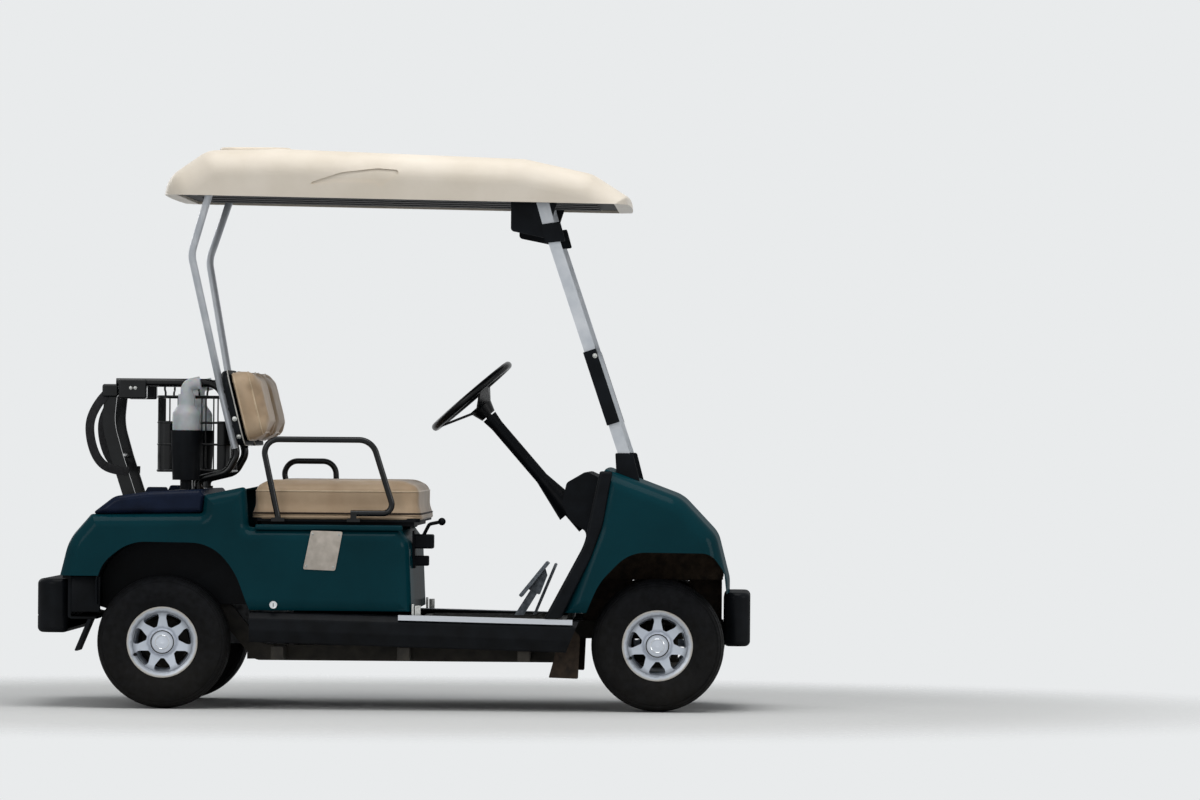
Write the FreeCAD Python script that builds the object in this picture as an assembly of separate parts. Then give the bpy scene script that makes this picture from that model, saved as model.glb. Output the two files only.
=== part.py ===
import FreeCAD, Part
import os
from math import cos, hypot, radians, sin, sqrt, tan

V = FreeCAD.Vector

# Two seat golf cart. Millimetres, +X forward, +Y to the driver's side, +Z up.
# The origin is on the floor under the middle of the cart.

# Overall
overall_length = 2384.0
wheelbase = 1646.0
front_axle_x = 884.0
rear_axle_x = front_axle_x - wheelbase
body_half_width = 600.0
bumper_front_x = overall_length / 2
bumper_rear_x = -overall_length / 2
bumper_edge_radius = 18.0
shell_wall = 6.0
panel_wall = 4.0
seat_gap = 0.3
shaft_clearance = 0.05

# Wheels and tyres
tyre_radius = 222.0
tyre_half_width = 101.0
tyre_wall = 10.0
tyre_crown_radius = 26.0
track_front = 880.0
track_rear = 980.0
axle_z = tyre_radius
rim_flange_radius = 118.0
rim_seat_radius = 103.0
rim_well_radius = 93.0
rim_half_width = 90.0
rim_wall = 4.0
bead_half_width = 84.0
cover_face = 74.0
cover_cap_radius = 43.0
window_count = 7
window_inner_radius = 54.0
window_outer_radius = 98.0
window_half_angle = 18.5
hub_radius = 30.0
hub_inner = -18.0
spindle_radius = 15.0
spindle_end = 62.0

# Steering
kingpin_y = 372.0
kingpin_radius = 10.0
sleeve_radius = 22.0
sleeve_half_height = 60.0
arm_gap = 3.0
arm_thickness = 14.0
steer_arm_length = 105.0
steer_arm_y = 300.0
steer_arm_z = 187.0
tie_rod_radius = 7.0
rack_housing_radius = 22.0
rack_half_length = 150.0
wheel_center_x = 231.0
wheel_center_z = 1052.0
wheel_center_y = 270.0
wheel_ring_radius = 163.0
wheel_grip_radius = 13.0
column_angle = 49.0
column_radius = 22.0
column_length = 500.0
steering_shaft_radius = 11.0
hub_depth = 42.0
hub_height = 46.0
spoke_turns = (70.0, 180.0, 290.0)
front_sweep_radius = 272.0

# Frame
rail_y = 275.0
rail_width = 50.0
rail_bottom = 158.0
rail_height = 52.0
rear_rail_bottom = 335.0
horn_y = 120.0
horn_width = 50.0
horn_bottom = 236.0
horn_height = 60.0

# Floor and rockers
floor_top = 300.0
floor_thickness = 12.0
floor_rear_x = 75.0
floor_front_x = 585.0
floor_half_width = 505.0
toe_half_width = 427.0
rocker_rear_x = -473.0
rocker_front_x = 626.0
rocker_depth = 82.0
rocker_wall = 5.0
rocker_low_rear = 225.0
rocker_low_front = 197.0
rocker_high_rear = 326.0
rocker_high_front = 304.0

cup_x = 622.0
cup_radius = 39.0
cup_places = (-125.0, 390.0)

# Body shells
rear_shoulder = 46.0
front_shoulder = 60.0
front_crown = 6.0
seat_deck_z = 606.0
skirt_gap = 6.0
skirt_half_width = 468.0
cap_half_width = 578.0
well_rear_x = -985.0
well_front_x = -768.0
well_half_width = 470.0
well_floor_z = 566.0
well_rim_z = 690.0
well_slope_x = -942.0

# Seat
pan_half_width = 500.0
pan_rear_x = -468.0
pan_front_x = 88.0
pan_bottom = 626.0
pan_thickness = 12.0
cushion_rear_x = -478.0
cushion_front_x = 100.0
cushion_half_width = 512.0
cushion_top = 761.0
ledge_half_width = cushion_half_width + 6.5
hinge_x = -462.0
hinge_pin_radius = 5.0
hinge_eye_radius = 11.0
hinge_ear_radius = 7.2
restraint_y = 548.0
restraint_radius = 10.0

# Backrests
backrest_tilt = 14.0
backrest_inner_y = 22.0
backrest_outer_y = 508.0
shell_low = 873.0
shell_height = 257.0
shell_thickness = 27.0
shell_rear_x = -521.0
pad_thickness = 88.0
pad_margin = 8.0

# Bag rack and basket
rack_y = 226.0
rack_radius = 13.0
rack_bar_z = 1088.0
rack_rear_x = -950.0
strut_radius = 12.5
strut_y = rack_y + rack_radius + strut_radius + seat_gap
bracket_thickness = 7.0
shell_rib = 5.0
basket_front_x = -568.0
basket_rear_x = -812.0
basket_half_width = 190.0
basket_low = 786.0
basket_top = 1040.0
basket_rim_radius = 4.5
basket_wire_radius = 2.5
basket_pitch = 47.0
bottle_x = -708.0
bottle_y = 282.0
holder_low = 760.0
holder_top = 927.0
holder_radius = 54.0
holder_wall = 4.0
bottle_radius = 47.5

# Roof and front struts
roof_half_width = 560.0
roof_rear_x = -776.0
roof_front_x = 774.0
roof_edge_rear = 1712.0
roof_edge_front = 1690.0
roof_wall = 9.0
roof_shoulder = 90.0
roof_flange = 34.0
roof_cap_top = 1880.0
scoop_depth = 5.0
front_strut_y = 480.0
front_strut_depth = 26.0
glass_thickness = 5.0
glass_half_width = front_strut_y - front_strut_depth / 2 - seat_gap
glass_low_z = 836.0
glass_high_z = 1596.0
glass_joint = 8.0
glass_split_z = 1215.0


def corner(before, point, after, radius):
    """Tangent points and middle point of the round at one corner."""
    into = before.sub(point)
    out = after.sub(point)
    into.normalize()
    out.normalize()
    half = into.getAngle(out) / 2
    reach = radius / tan(half)
    middle = into.add(out)
    middle.normalize()
    centre = point.add(middle.multiply(radius / sin(half)))
    inward = point.sub(centre)
    inward.normalize()
    return point.add(into.multiply(reach)), centre.add(inward.multiply(radius)), point.add(out.multiply(reach))


def rounded_wire(points, radii, closed):
    """Straight runs joined by tangent arcs."""
    count = len(points)
    stops = []
    for i in range(count):
        last = not closed and i in (0, count - 1)
        if last or radii[i] <= 0:
            stops.append((points[i], None, points[i]))
            continue
        stops.append(corner(V(points[i - 1]), V(points[i]), V(points[(i + 1) % count]), radii[i]))
    edges = []
    spans = count if closed else count - 1
    for i in range(count):
        first, middle, second = stops[i]
        if middle is not None:
            edges.append(Part.Arc(first, middle, second).toShape())
        if i < spans:
            following = stops[(i + 1) % count][0]
            if second.distanceToPoint(following) > 1e-4:
                edges.append(Part.LineSegment(second, following).toShape())
    return Part.Wire(edges)


def outline(points, plane, at):
    """Closed wire of (a, b) or (a, b, corner radius) points in plane xy, xz or yz."""
    place = {"xy": lambda a, b: V(a, b, at), "xz": lambda a, b: V(a, at, b), "yz": lambda a, b: V(at, a, b)}[plane]
    spots = [place(p[0], p[1]) for p in points]
    radii = [p[2] if len(p) > 2 else 0.0 for p in points]
    return rounded_wire(spots, radii, True)


def prism(points, plane, low, high):
    """Outline pushed from low to high along the plane's normal."""
    along = {"xy": V(0, 0, 1), "xz": V(0, 1, 0), "yz": V(1, 0, 0)}[plane]
    return Part.Face(outline(points, plane, low)).extrude(along.multiply(high - low))


def box(x0, x1, y0, y1, z0, z1):
    return Part.makeBox(x1 - x0, y1 - y0, z1 - z0, V(x0, y0, z0))


def rod(start, end, radius):
    along = V(end).sub(V(start))
    return Part.makeCylinder(radius, along.Length, V(start), along)


def tube(points, radius, bend):
    """Round bar along points with one bend radius, or a list of them."""
    bends = bend if isinstance(bend, list) else [bend] * len(points)
    path = rounded_wire([V(p) for p in points], bends, False)
    start = V(points[0])
    direction = V(points[1]).sub(start)
    section = Part.Wire([Part.Circle(start, direction, radius).toShape()])
    return path.makePipeShell([section], True, True)


def fused(shapes):
    whole = shapes[0]
    if len(shapes) > 1:
        whole = shapes[0].multiFuse(shapes[1:])
    return whole.removeSplitter()


def mirrored(shape):
    return shape.mirror(V(0, 0, 0), V(0, 1, 0))


def pair(shape):
    """The shape and its mirror image on the other side of the cart."""
    return Part.makeCompound([shape, mirrored(shape)])


def inset(points, distance):
    """Polygon moved inwards by distance; points run anticlockwise. Corner radii follow."""
    count = len(points)
    moved = []
    for i in range(count):
        p, q, r = points[i - 1], points[i], points[(i + 1) % count]
        a = hypot(q[0] - p[0], q[1] - p[1])
        b = hypot(r[0] - q[0], r[1] - q[1])
        u = ((q[0] - p[0]) / a, (q[1] - p[1]) / a)
        w = ((r[0] - q[0]) / b, (r[1] - q[1]) / b)
        turn = u[0] * w[1] - u[1] * w[0]
        along = 1 + u[0] * w[0] + u[1] * w[1]
        shift = distance / along
        normal = (-u[1] - w[1], u[0] + w[0])
        radius = q[2] if len(q) > 2 else 0.0
        if radius > 0:
            radius = max(radius - distance, 1.0) if turn > 0 else radius + distance
        moved.append((q[0] + normal[0] * shift, q[1] + normal[1] * shift, radius))
    return moved


def pillow(points, half_width, shoulder, crown):
    """Side outline lofted across the cart: crowned in the middle and rounded at both sides."""
    flat = half_width - shoulder
    middle = [outline(inset(points, d), "xz", y) for y, d in ((-flat, 0.0), (0.0, -crown), (flat, 0.0))]
    turns = [radians(a) for a in (0.0, 30.0, 60.0, 90.0)]
    side = [outline(inset(points, shoulder * (1 - cos(a))), "xz", flat + shoulder * sin(a)) for a in turns]
    rounded = Part.makeLoft(side, True, False)
    return Part.makeLoft(middle, True, crown == 0).fuse([rounded, mirrored(rounded)])


def revolved(points, centre, axis):
    """Solid of revolution about the Y axis line through centre; points are (radius, along)."""
    spots = [V(centre[0] + p[0], centre[1] + axis * p[1], centre[2]) for p in points]
    radii = [p[2] if len(p) > 2 else 0.0 for p in points]
    face = Part.Face(rounded_wire(spots, radii, True))
    return face.revolve(V(*centre), V(0, 1, 0), 360)


def rounded_block(x0, x1, y0, y1, z0, z1, radius):
    block = box(x0, x1, y0, y1, z0, z1)
    return block.makeFillet(radius, block.Edges)


def save(name, shape):
    shape.exportStep("parts/" + name + ".step")


# Side outlines, all anticlockwise with +X to the right: x, z, corner radius

rear_side = [
    (-1000.0, 330.0, 0.0),
    (67.0, 318.0, 0.0),
    (56.0, 560.0, 60.0),
    (22.0, seat_deck_z, 24.0),
    (-480.0, seat_deck_z, 12.0),
    (-490.0, 741.0, 12.0),
    (-626.0, 712.0, 10.0),
    (-632.0, 652.0, 8.0),
    (-1002.0, 646.0, 14.0),
    (-1076.0, 560.0, 160.0),
    (-1108.0, 430.0, 0.0),
]

rear_arch = [
    (-978.0, 200.0, 0.0),
    (-473.0, 200.0, 0.0),
    (-473.0, 330.0, 20.0),
    (-520.0, 458.0, 260.0),
    (-600.0, 553.0, 150.0),
    (-873.0, 556.0, 150.0),
    (-960.0, 486.0, 120.0),
    (-980.0, 430.0, 30.0),
]

deck_side = [
    (-1002.0, 646.0 + seat_gap, 6.0),
    (-632.0 - seat_gap, 652.0 + seat_gap, 9.0),
    (-626.0 - seat_gap, 712.0, 8.0),
    (-640.0, 730.0, 10.0),
    (-812.0, 722.0, 60.0),
    (-925.0, 706.0, 60.0),
]

front_side = [
    (560.0, 318.0, 0.0),
    (1116.0, 318.0, 0.0),
    (1116.0, 440.0, 90.0),
    (1078.0, 590.0, 90.0),
    (960.0, 715.0, 120.0),
    (704.0, 811.0, 12.0),
    (668.0, 620.0, 200.0),
]

front_arch = [
    (628.0, 200.0, 0.0),
    (1140.0, 200.0, 0.0),
    (1112.0, 397.0, 0.0),
    (1104.0, 470.0, 60.0),
    (1060.0, 531.0, 60.0),
    (790.0, 533.0, 130.0),
    (690.0, 432.0, 220.0),
    (634.0, 300.0, 40.0),
]

edge_strip_side = [
    (508.0, 312.0, 0.0),
    (563.0, 312.0, 0.0),
    (660.0, 510.0, 200.0),
    (700.0, 620.0, 200.0),
    (731.0, 801.0, 6.0),
    (689.0, 801.0, 6.0),
    (668.0, 700.0, 200.0),
    (640.0, 560.0, 200.0),
]

dash_side = [
    (648.0, 521.0, 4.0),
    (662.0, 521.0, 4.0),
    (690.0, 640.0, 40.0),
    (684.0, 780.0, 20.0),
    (640.0, 800.0, 20.0),
    (575.0, 762.0, 20.0),
    (560.0, 690.0, 20.0),
    (590.0, 630.0, 20.0),
    (640.0, 600.0, 20.0),
]

roof_side = [
    (-800.0, 1560.0, 0.0),
    (789.0, 1560.0, 0.0),
    (771.0, 1716.0, 20.0),
    (652.0, 1792.0, 100.0),
    (430.0, 1840.0, 100.0),
    (-380.0, 1868.0, 100.0),
    (-630.0, 1862.0, 100.0),
    (-762.0, 1770.0, 100.0),
]


scoop_side = [
    (-310.0, 1745.0, 4.0),
    (-190.0, 1757.0, 20.0),
    (-70.0, 1757.0, 14.0),
    (-52.0, 1742.0, 8.0),
    (30.0, 1797.0, 10.0),
    (-60.0, 1803.0, 90.0),
    (-180.0, 1789.0, 200.0),
]


def roof_edge(x):
    """Height of the roof's lower edge."""
    return roof_edge_rear + (roof_edge_front - roof_edge_rear) * (x - roof_rear_x) / (roof_front_x - roof_rear_x)


# Running gear

def tyre(x, y, side):
    outer = [
        (rim_seat_radius + seat_gap, -bead_half_width + 1.0, 2.0),
        (rim_flange_radius + 0.6, -bead_half_width - 2.4, 0.0),
        (rim_flange_radius + 4.0, -bead_half_width - 7.0, 4.0),
        (rim_seat_radius + 62.0, -tyre_half_width - 3.0, 40.0),
        (tyre_radius - 14.0, -tyre_half_width + 4.0, tyre_crown_radius),
        (tyre_radius, -tyre_half_width + 28.0, 20.0),
        (tyre_radius, tyre_half_width - 28.0, 20.0),
        (tyre_radius - 14.0, tyre_half_width - 4.0, tyre_crown_radius),
        (rim_seat_radius + 62.0, tyre_half_width + 3.0, 40.0),
        (rim_flange_radius + 4.0, bead_half_width + 7.0, 4.0),
        (rim_flange_radius + 0.6, bead_half_width + 2.4, 0.0),
        (rim_seat_radius + seat_gap, bead_half_width - 1.0, 2.0),
        (rim_seat_radius + seat_gap, bead_half_width - 22.0, 2.0),
        (rim_seat_radius + 34.0, bead_half_width - 10.0, 14.0),
        (tyre_radius - tyre_wall - 8.0, tyre_half_width - 18.0, 20.0),
        (tyre_radius - tyre_wall, 0.0, 0.0),
        (tyre_radius - tyre_wall - 8.0, -tyre_half_width + 18.0, 20.0),
        (rim_seat_radius + 34.0, -bead_half_width + 10.0, 14.0),
        (rim_seat_radius + seat_gap, -bead_half_width + 22.0, 2.0),
    ]
    return revolved(outer, (x, y, axle_z), side)


def wheel(x, y, side):
    centre = (x, y, axle_z)
    w = rim_half_width
    barrel = revolved([
        (rim_flange_radius, -w, 0.0),
        (rim_flange_radius, -w + 3.0, 0.0),
        (rim_seat_radius, -bead_half_width, 2.0),
        (rim_seat_radius, -bead_half_width + 26.0, 3.0),
        (rim_well_radius, -42.0, 3.0),
        (rim_well_radius, 30.0, 3.0),
        (rim_seat_radius, bead_half_width - 26.0, 3.0),
        (rim_seat_radius, bead_half_width, 2.0),
        (rim_flange_radius, w - 3.0, 0.0),
        (rim_flange_radius, w, 0.0),
        (rim_flange_radius - 5.0, w, 0.0),
        (rim_seat_radius - 3.0, w - 5.0, 4.0),
        (rim_seat_radius - rim_wall, bead_half_width - 28.0, 3.0),
        (rim_well_radius - rim_wall, 26.0, 3.0),
        (rim_well_radius - rim_wall, -38.0, 3.0),
        (rim_seat_radius - rim_wall, -bead_half_width + 28.0, 3.0),
        (rim_seat_radius - 3.0, -w + 5.0, 4.0),
        (rim_flange_radius - 5.0, -w, 0.0),
    ], centre, side)
    disc = revolved([
        (spindle_radius + shaft_clearance, hub_inner, 0.0),
        (hub_radius, hub_inner, 3.0),
        (hub_radius, cover_face - 12.0, 3.0),
        (rim_seat_radius - 2.0, cover_face - 12.0, 0.0),
        (rim_seat_radius - 2.0, cover_face + 4.0, 2.0),
        (window_outer_radius, cover_face + 4.0, 4.0),
        (cover_cap_radius, cover_face - 2.0, 4.0),
        (cover_cap_radius - 2.0, cover_face + 6.0, 3.0),
        (0.0, cover_face + 9.0, 0.0),
        (0.0, spindle_end + 1.0, 0.0),
        (spindle_radius + shaft_clearance, spindle_end + 1.0, 0.0),
    ], centre, side)
    rim = barrel.fuse(disc)
    for i in range(window_count):
        turn = 360.0 * i / window_count + 90.0
        rim = rim.cut(window(x, y, side, turn))
    return rim


def window(x, y, side, turn):
    """Rounded three sided hole between two spokes."""
    spread = window_outer_radius * tan(radians(window_half_angle))
    shape = [
        (window_inner_radius, -6.0, 5.0),
        (window_inner_radius + 24.0, -spread + 8.0, 12.0),
        (window_outer_radius - 4.0, -spread + 4.0, 8.0),
        (window_outer_radius, 0.0, 90.0),
        (window_outer_radius - 4.0, spread - 4.0, 8.0),
        (window_inner_radius + 24.0, spread - 8.0, 12.0),
        (window_inner_radius, 6.0, 5.0),
    ]
    near = y + side * 40.0
    far = y + side * 100.0
    spots = [V(x + a, near, axle_z + b) for a, b, r in shape]
    face = Part.Face(rounded_wire(spots, [p[2] for p in shape], True))
    hole = face.extrude(V(0, far - near, 0))
    hole.rotate(V(x, y, axle_z), V(0, 1, 0), turn)
    return hole


def knuckle(side):
    """Sleeve on the kingpin, stub axle outwards and steering arm to the rear."""
    y = side * kingpin_y
    arm_y = side * steer_arm_y
    sleeve = rod((front_axle_x, y, axle_z - sleeve_half_height), (front_axle_x, y, axle_z + sleeve_half_height), sleeve_radius)
    stub = rod((front_axle_x, y, axle_z), (front_axle_x, side * (track_front / 2 + hub_inner - 1.0), axle_z), sleeve_radius)
    spindle = rod((front_axle_x, y, axle_z), (front_axle_x, side * (track_front / 2 + spindle_end), axle_z), spindle_radius)
    link = box(front_axle_x - 16, front_axle_x + 16, min(y, arm_y - side * 12), max(y, arm_y - side * 12),
               steer_arm_z - arm_thickness / 2, steer_arm_z + arm_thickness / 2)
    arm = box(front_axle_x - steer_arm_length, front_axle_x + 16, arm_y - 12, arm_y + 12,
              steer_arm_z - arm_thickness / 2, steer_arm_z + arm_thickness / 2)
    eye = rod((front_axle_x - steer_arm_length, arm_y, steer_arm_z - arm_thickness / 2),
              (front_axle_x - steer_arm_length, arm_y, steer_arm_z + arm_thickness / 2), 15.0)
    bore = rod((front_axle_x, y, 100), (front_axle_x, y, 350), kingpin_radius + shaft_clearance)
    return fused([sleeve, stub, spindle, link, arm, eye]).cut(bore)


def front_suspension():
    """Cross beam, upper and lower arms, kingpins, dampers and spring towers."""
    low = axle_z - sleeve_half_height - arm_gap - arm_thickness
    high = axle_z + sleeve_half_height + arm_gap
    x = front_axle_x
    pieces = [box(x - 36, x + 36, -205, 205, low - 4, horn_bottom - seat_gap)]
    for side in (-1, 1):
        arm = prism([(x - 90, side * 200), (x + 90, side * 200), (x + 24, side * 300), (x + 24, side * (kingpin_y + 20), 20.0),
                     (x - 24, side * (kingpin_y + 20), 20.0), (x - 24, side * 300)], "xy", low, low + arm_thickness)
        pieces.append(arm)
        apex = prism([(x - 58, side * 279), (x + 58, side * 279), (x + 58, side * 292), (x + 20, side * 304),
                      (x + 20, side * (kingpin_y + 20), 19.0), (x - 20, side * (kingpin_y + 20), 19.0),
                      (x - 20, side * 304), (x - 58, side * 292)], "xy", high, high + arm_thickness)
        pieces.append(apex)
        for lean in (-1, 1):
            bar = box(min(x + lean * 46, x + lean * 58), max(x + lean * 46, x + lean * 58),
                      min(side * 190, side * 285), max(side * 190, side * 285), high, high + arm_thickness)
            pieces.append(bar)
            post = box(min(x + lean * 42, x + lean * 62), max(x + lean * 42, x + lean * 62),
                       min(side * 180, side * 204), max(side * 180, side * 204), low + arm_thickness, 552)
            pieces.append(post)
        pieces.append(box(x - 62, x + 62, min(side * 180, side * 278), max(side * 180, side * 278), 540, 552))
        pieces.append(rod((x, side * kingpin_y, low), (x, side * kingpin_y, high + arm_thickness), kingpin_radius))
        pieces.append(rod((x, side * 240, low + arm_thickness - 2), (x, side * 240, 430), 15.0))
        pieces.append(rod((x, side * 240, 420), (x, side * 240, 545), 7.0))
        pieces.append(rod((x, side * 240, 318), (x, side * 240, 324), 36.0))
    return fused(pieces)


def coil_springs():
    """Front springs round the dampers."""
    low, high, radius, wire = 329.3, 534.7, 28.0, 5.0
    helix = Part.makeHelix((high - low) / 6.0, high - low, radius)
    section = Part.Wire([Part.Circle(V(radius, 0, 0), V(0, 1, 0), wire).toShape()])
    coil = Part.Wire(helix.Edges).makePipeShell([section], True, True)
    coil.translate(V(front_axle_x, 240, low))
    return pair(coil)


def tie_rods():
    """Rack bar with a tie rod and ball end at each side, under the steering arms."""
    x = front_axle_x - steer_arm_length
    z = steer_arm_z - arm_thickness / 2 - 3.0 - 9.0
    bar = rod((x, -steer_arm_y, z), (x, steer_arm_y, z), tie_rod_radius)
    ends = [rod((x, side * steer_arm_y, z - 9), (x, side * steer_arm_y, z + 9), 13.0) for side in (-1, 1)]
    return fused([bar] + ends)


def rack_housing():
    """Fixed tube that the rack bar slides in, with its foot on the cross beam and the column's lower end."""
    x = front_axle_x - steer_arm_length
    z = steer_arm_z - arm_thickness / 2 - 3.0 - 9.0
    body = rod((x, -rack_half_length, z), (x, rack_half_length, z), rack_housing_radius)
    foot = box(x, front_axle_x - 36, -70, 70, z - 14, z + 14)
    tower = rod((x, wheel_center_y / 2, z), (x, wheel_center_y / 2, z + 60), 16.0)
    bore = rod((x, -rack_half_length - 5, z), (x, rack_half_length + 5, z), tie_rod_radius + 0.08)
    return fused([body, foot, tower]).cut(bore)


def rear_axle():
    """Axle tube with brake drums, stub shafts and the gear case."""
    parts = [rod((rear_axle_x, -400, axle_z), (rear_axle_x, 400, axle_z), 32.0)]
    for side in (-1, 1):
        face = track_rear / 2
        parts.append(rod((rear_axle_x, side * (face - 94), axle_z), (rear_axle_x, side * (face - 42), axle_z), 78.0))
        parts.append(rod((rear_axle_x, side * (face - 43), axle_z), (rear_axle_x, side * (face + spindle_end), axle_z), spindle_radius))
        parts.append(rod((rear_axle_x, side * (face - 43), axle_z), (rear_axle_x, side * (face + hub_inner - 1.0), axle_z), sleeve_radius))
    case = revolved([(0.0, -105.0, 0.0), (60.0, -105.0, 20.0), (112.0, -50.0, 30.0), (112.0, 50.0, 30.0),
                     (60.0, 105.0, 20.0), (0.0, 105.0, 0.0)], (rear_axle_x, 60.0, axle_z), 1)
    parts.append(case)
    return fused(parts)


def rear_springs():
    """Leaf springs from the rails' kick-up over the axle to the rear rail end."""
    leaves = []
    for side in (-1, 1):
        y0, y1 = sorted((side * 250.0, side * 205.0))
        low = axle_z + 32.0 + seat_gap
        main = prism([(-1040, low + 70), (-1030, low + 78), (rear_axle_x - 60, low + 8.5), (rear_axle_x + 60, low + 8.5),
                      (-524, low + 48), (-526, low + 38.5), (rear_axle_x + 62, low), (rear_axle_x - 62, low)], "xz", y0, y1)
        clamp = box(rear_axle_x - 40, rear_axle_x + 40, y0 - 6, y1 + 6, low, low + 22)
        shackle = box(-1046, -1032, y0, y1, low + 68, rear_rail_bottom + 4 - seat_gap)
        bolt = rod((-540, side * 240, low + 39.5), (-540, side * (rail_y - seat_gap), low + 39.5), 9.0)
        leaves.append(fused([main, clamp, shackle, bolt]))
    return Part.makeCompound(leaves)


def engine():
    """Closed engine mass ahead of the rear axle, on the cross members."""
    low = rail_bottom + rail_height + seat_gap
    return prism([(-640, low, 12), (-370, low, 12), (-370, 500, 30), (-540, 545, 40), (-640, 520, 30)], "xz", -200, 190)


def rocker_low(x):
    """Height of a rocker's lower face."""
    return rocker_low_rear + (rocker_low_front - rocker_low_rear) * (x - rocker_rear_x) / (rocker_front_x - rocker_rear_x)


def frame_rails():
    """Two side rails with a rear kick-up, front horns and cross members."""
    top = rail_bottom + rail_height
    rear_top = rear_rail_bottom + rail_height
    side_outline = [
        (-470.0, rail_bottom, 40.0),
        (560.0, rail_bottom, 0.0),
        (560.0, top, 0.0),
        (-440.0, top, 40.0),
        (-585.0, rear_top, 40.0),
        (-1066.0, rear_top, 0.0),
        (-1066.0, rear_rail_bottom, 0.0),
        (-620.0, rear_rail_bottom, 40.0),
    ]
    rail = prism(side_outline, "xz", rail_y, rail_y + rail_width)
    horn = prism([(500.0, top - 2, 0), (560.0, top - 2, 0), (620.0, horn_bottom, 20), (1100.0, horn_bottom, 0),
                  (1100.0, horn_bottom + horn_height, 0), (600.0, horn_bottom + horn_height, 20), (500.0, top + 30, 20)],
                 "xz", horn_y, horn_y + horn_width)
    pieces = [rail, mirrored(rail), horn, mirrored(horn)]
    edge = rail_y + rail_width
    for x in (-470.0, -40.0, 300.0, 510.0):
        pieces.append(box(x - 25, x + 25, -edge, edge, rail_bottom + 4, top - 2))
    for x in (-1040.0, -900.0):
        pieces.append(box(x - 20, x + 20, -edge, edge, rear_rail_bottom + 4, rear_top - 4))
    pieces.append(box(1060, 1100, -horn_y, horn_y, horn_bottom, horn_bottom + horn_height))
    for x in (-380.0, 40.0, 440.0):
        pieces.append(box(x - 20, x + 20, -500.0, 500.0, rail_bottom + 8, top))
        pieces.append(box(x - 20, x + 20, -570.0, 570.0, rail_bottom + 8, min(rocker_low(x + 20) - seat_gap, top)))
    return fused(pieces)


# Floor, sills and body shells

def floor():
    """Foot well floor with tread ribs and the sloping toe board."""
    half = floor_half_width
    pan = prism([
        (floor_rear_x, floor_top - floor_thickness, 0),
        (floor_front_x, floor_top - floor_thickness, 10),
        (628.0, 420.0, 30),
        (640.0, 520.0, 0),
        (630.0, 520.0, 0),
        (616.0, 422.0, 30),
        (floor_front_x - 8, floor_top, 10),
        (floor_rear_x, floor_top, 0),
    ], "xz", -half, half)
    ribs = []
    for i in range(9):
        y = -420.0 + i * 105.0
        ribs.append(box(floor_rear_x + 30, floor_front_x - 40, y - 9, y + 9, floor_top - 1, floor_top + 4))
    post = [box(x - 14, x + 14, side * 430 - 14, side * 430 + 14, rail_bottom + rail_height, floor_top - 2)
            for x in (130.0, 440.0) for side in (-1, 1)]
    beam = [box(24.0, 460.0, side * 430 - 14, side * 430 + 14, rail_bottom + rail_height + seat_gap, rail_bottom + rail_height + 30)
            for side in (-1, 1)]
    whole = fused([pan] + ribs + post + beam)
    for side in (-1, 1):
        y0, y1 = sorted((side * toe_half_width, side * 700.0))
        whole = whole.cut(box(500.0, 700.0, y0, y1, floor_top + 0.5, 600.0))
    return whole


def rocker(side):
    """Side moulding with an open back, lower at the front end."""
    def section(x, low, high, wall):
        face = body_half_width - 4.0 - wall
        back = body_half_width - rocker_depth
        shape = [(back, low + wall, 0.5), (face - 14, low + wall, 8.0), (face, low + 40, 20.0), (face, high - 24, 12.0),
                 (face - 16, high - wall, 8.0), (back, high - wall, 0.5)]
        return outline([(side * a, b, c) for a, b, c in shape], "yz", x)
    rear, front = rocker_rear_x, rocker_front_x
    ends = ((rear, rocker_low_rear, rocker_high_rear), (front, rocker_low_front, rocker_high_front))
    outer = Part.makeLoft([section(x, low, high, 0.0) for x, low, high in ends], True, True)
    inner = Part.makeLoft([section(x, low, high, rocker_wall) for x, low, high in ends], True, True)
    y0, y1 = sorted((side * 500.0, side * (body_half_width - rocker_depth + 1)))
    mouth = box(rear - 2, front + 2, y0, y1, rocker_low_front + 7, rocker_high_rear - 6)
    slant = prism([(577.0, 190.0), (front + 5, 190.0), (front + 5, 310.0), (front, 310.0)], "xz", -600, 600)
    return outer.cut(inner).cut(mouth).cut(slant)


def sill_trim(side):
    """Aluminium angle on the rocker's top edge beside the foot well."""
    def section(x, top):
        edge = body_half_width - 3.7
        shape = [(edge - 46, top + 2), (edge + 2, top + 2), (edge + 2, top - 15), (edge, top - 15), (edge, top), (edge - 46, top)]
        return outline([(side * a, b) for a, b in shape], "yz", x)
    drop = (rocker_high_rear - rocker_high_front) / (rocker_front_x - rocker_rear_x)
    rear, front = 23.0, 602.0
    heights = [rocker_high_rear - drop * (x - rocker_rear_x) + seat_gap for x in (rear, front)]
    return Part.makeLoft([section(rear, heights[0]), section(front, heights[1])], True, True)


def rear_body():
    """Rear shell: bag deck base, wheel arches, seat sides and the panel below the seat."""
    outer = pillow(rear_side, body_half_width, rear_shoulder, 0.0)
    inner = pillow(inset(rear_side, shell_wall), body_half_width - shell_wall, rear_shoulder - shell_wall, 0.0)
    shell = outer.cut(inner)
    shell = shell.cut(box(-1200, 200, -700, 700, 300, 330.5))
    shell = shell.cut(box(-1200, -900, -700, 700, 300, 441.0))
    shell = shell.cut(prism(rear_arch, "xz", -700, 700))
    shell = shell.cut(box(-628, -16, -ledge_half_width, ledge_half_width, 560, 760))
    shell = shell.cut(box(well_rear_x, well_front_x, -well_half_width, well_half_width, 600, 760))
    return shell


def under_cap(x):
    """Height just under the deck cap's sloping rear skin."""
    (x0, z0, r0), (x1, z1, r1) = deck_side[0], deck_side[-1]
    slope = (z1 - z0) / (x1 - x0)
    return z0 + slope * (x - x0) - panel_wall * sqrt(1 + slope * slope) - seat_gap


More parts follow.
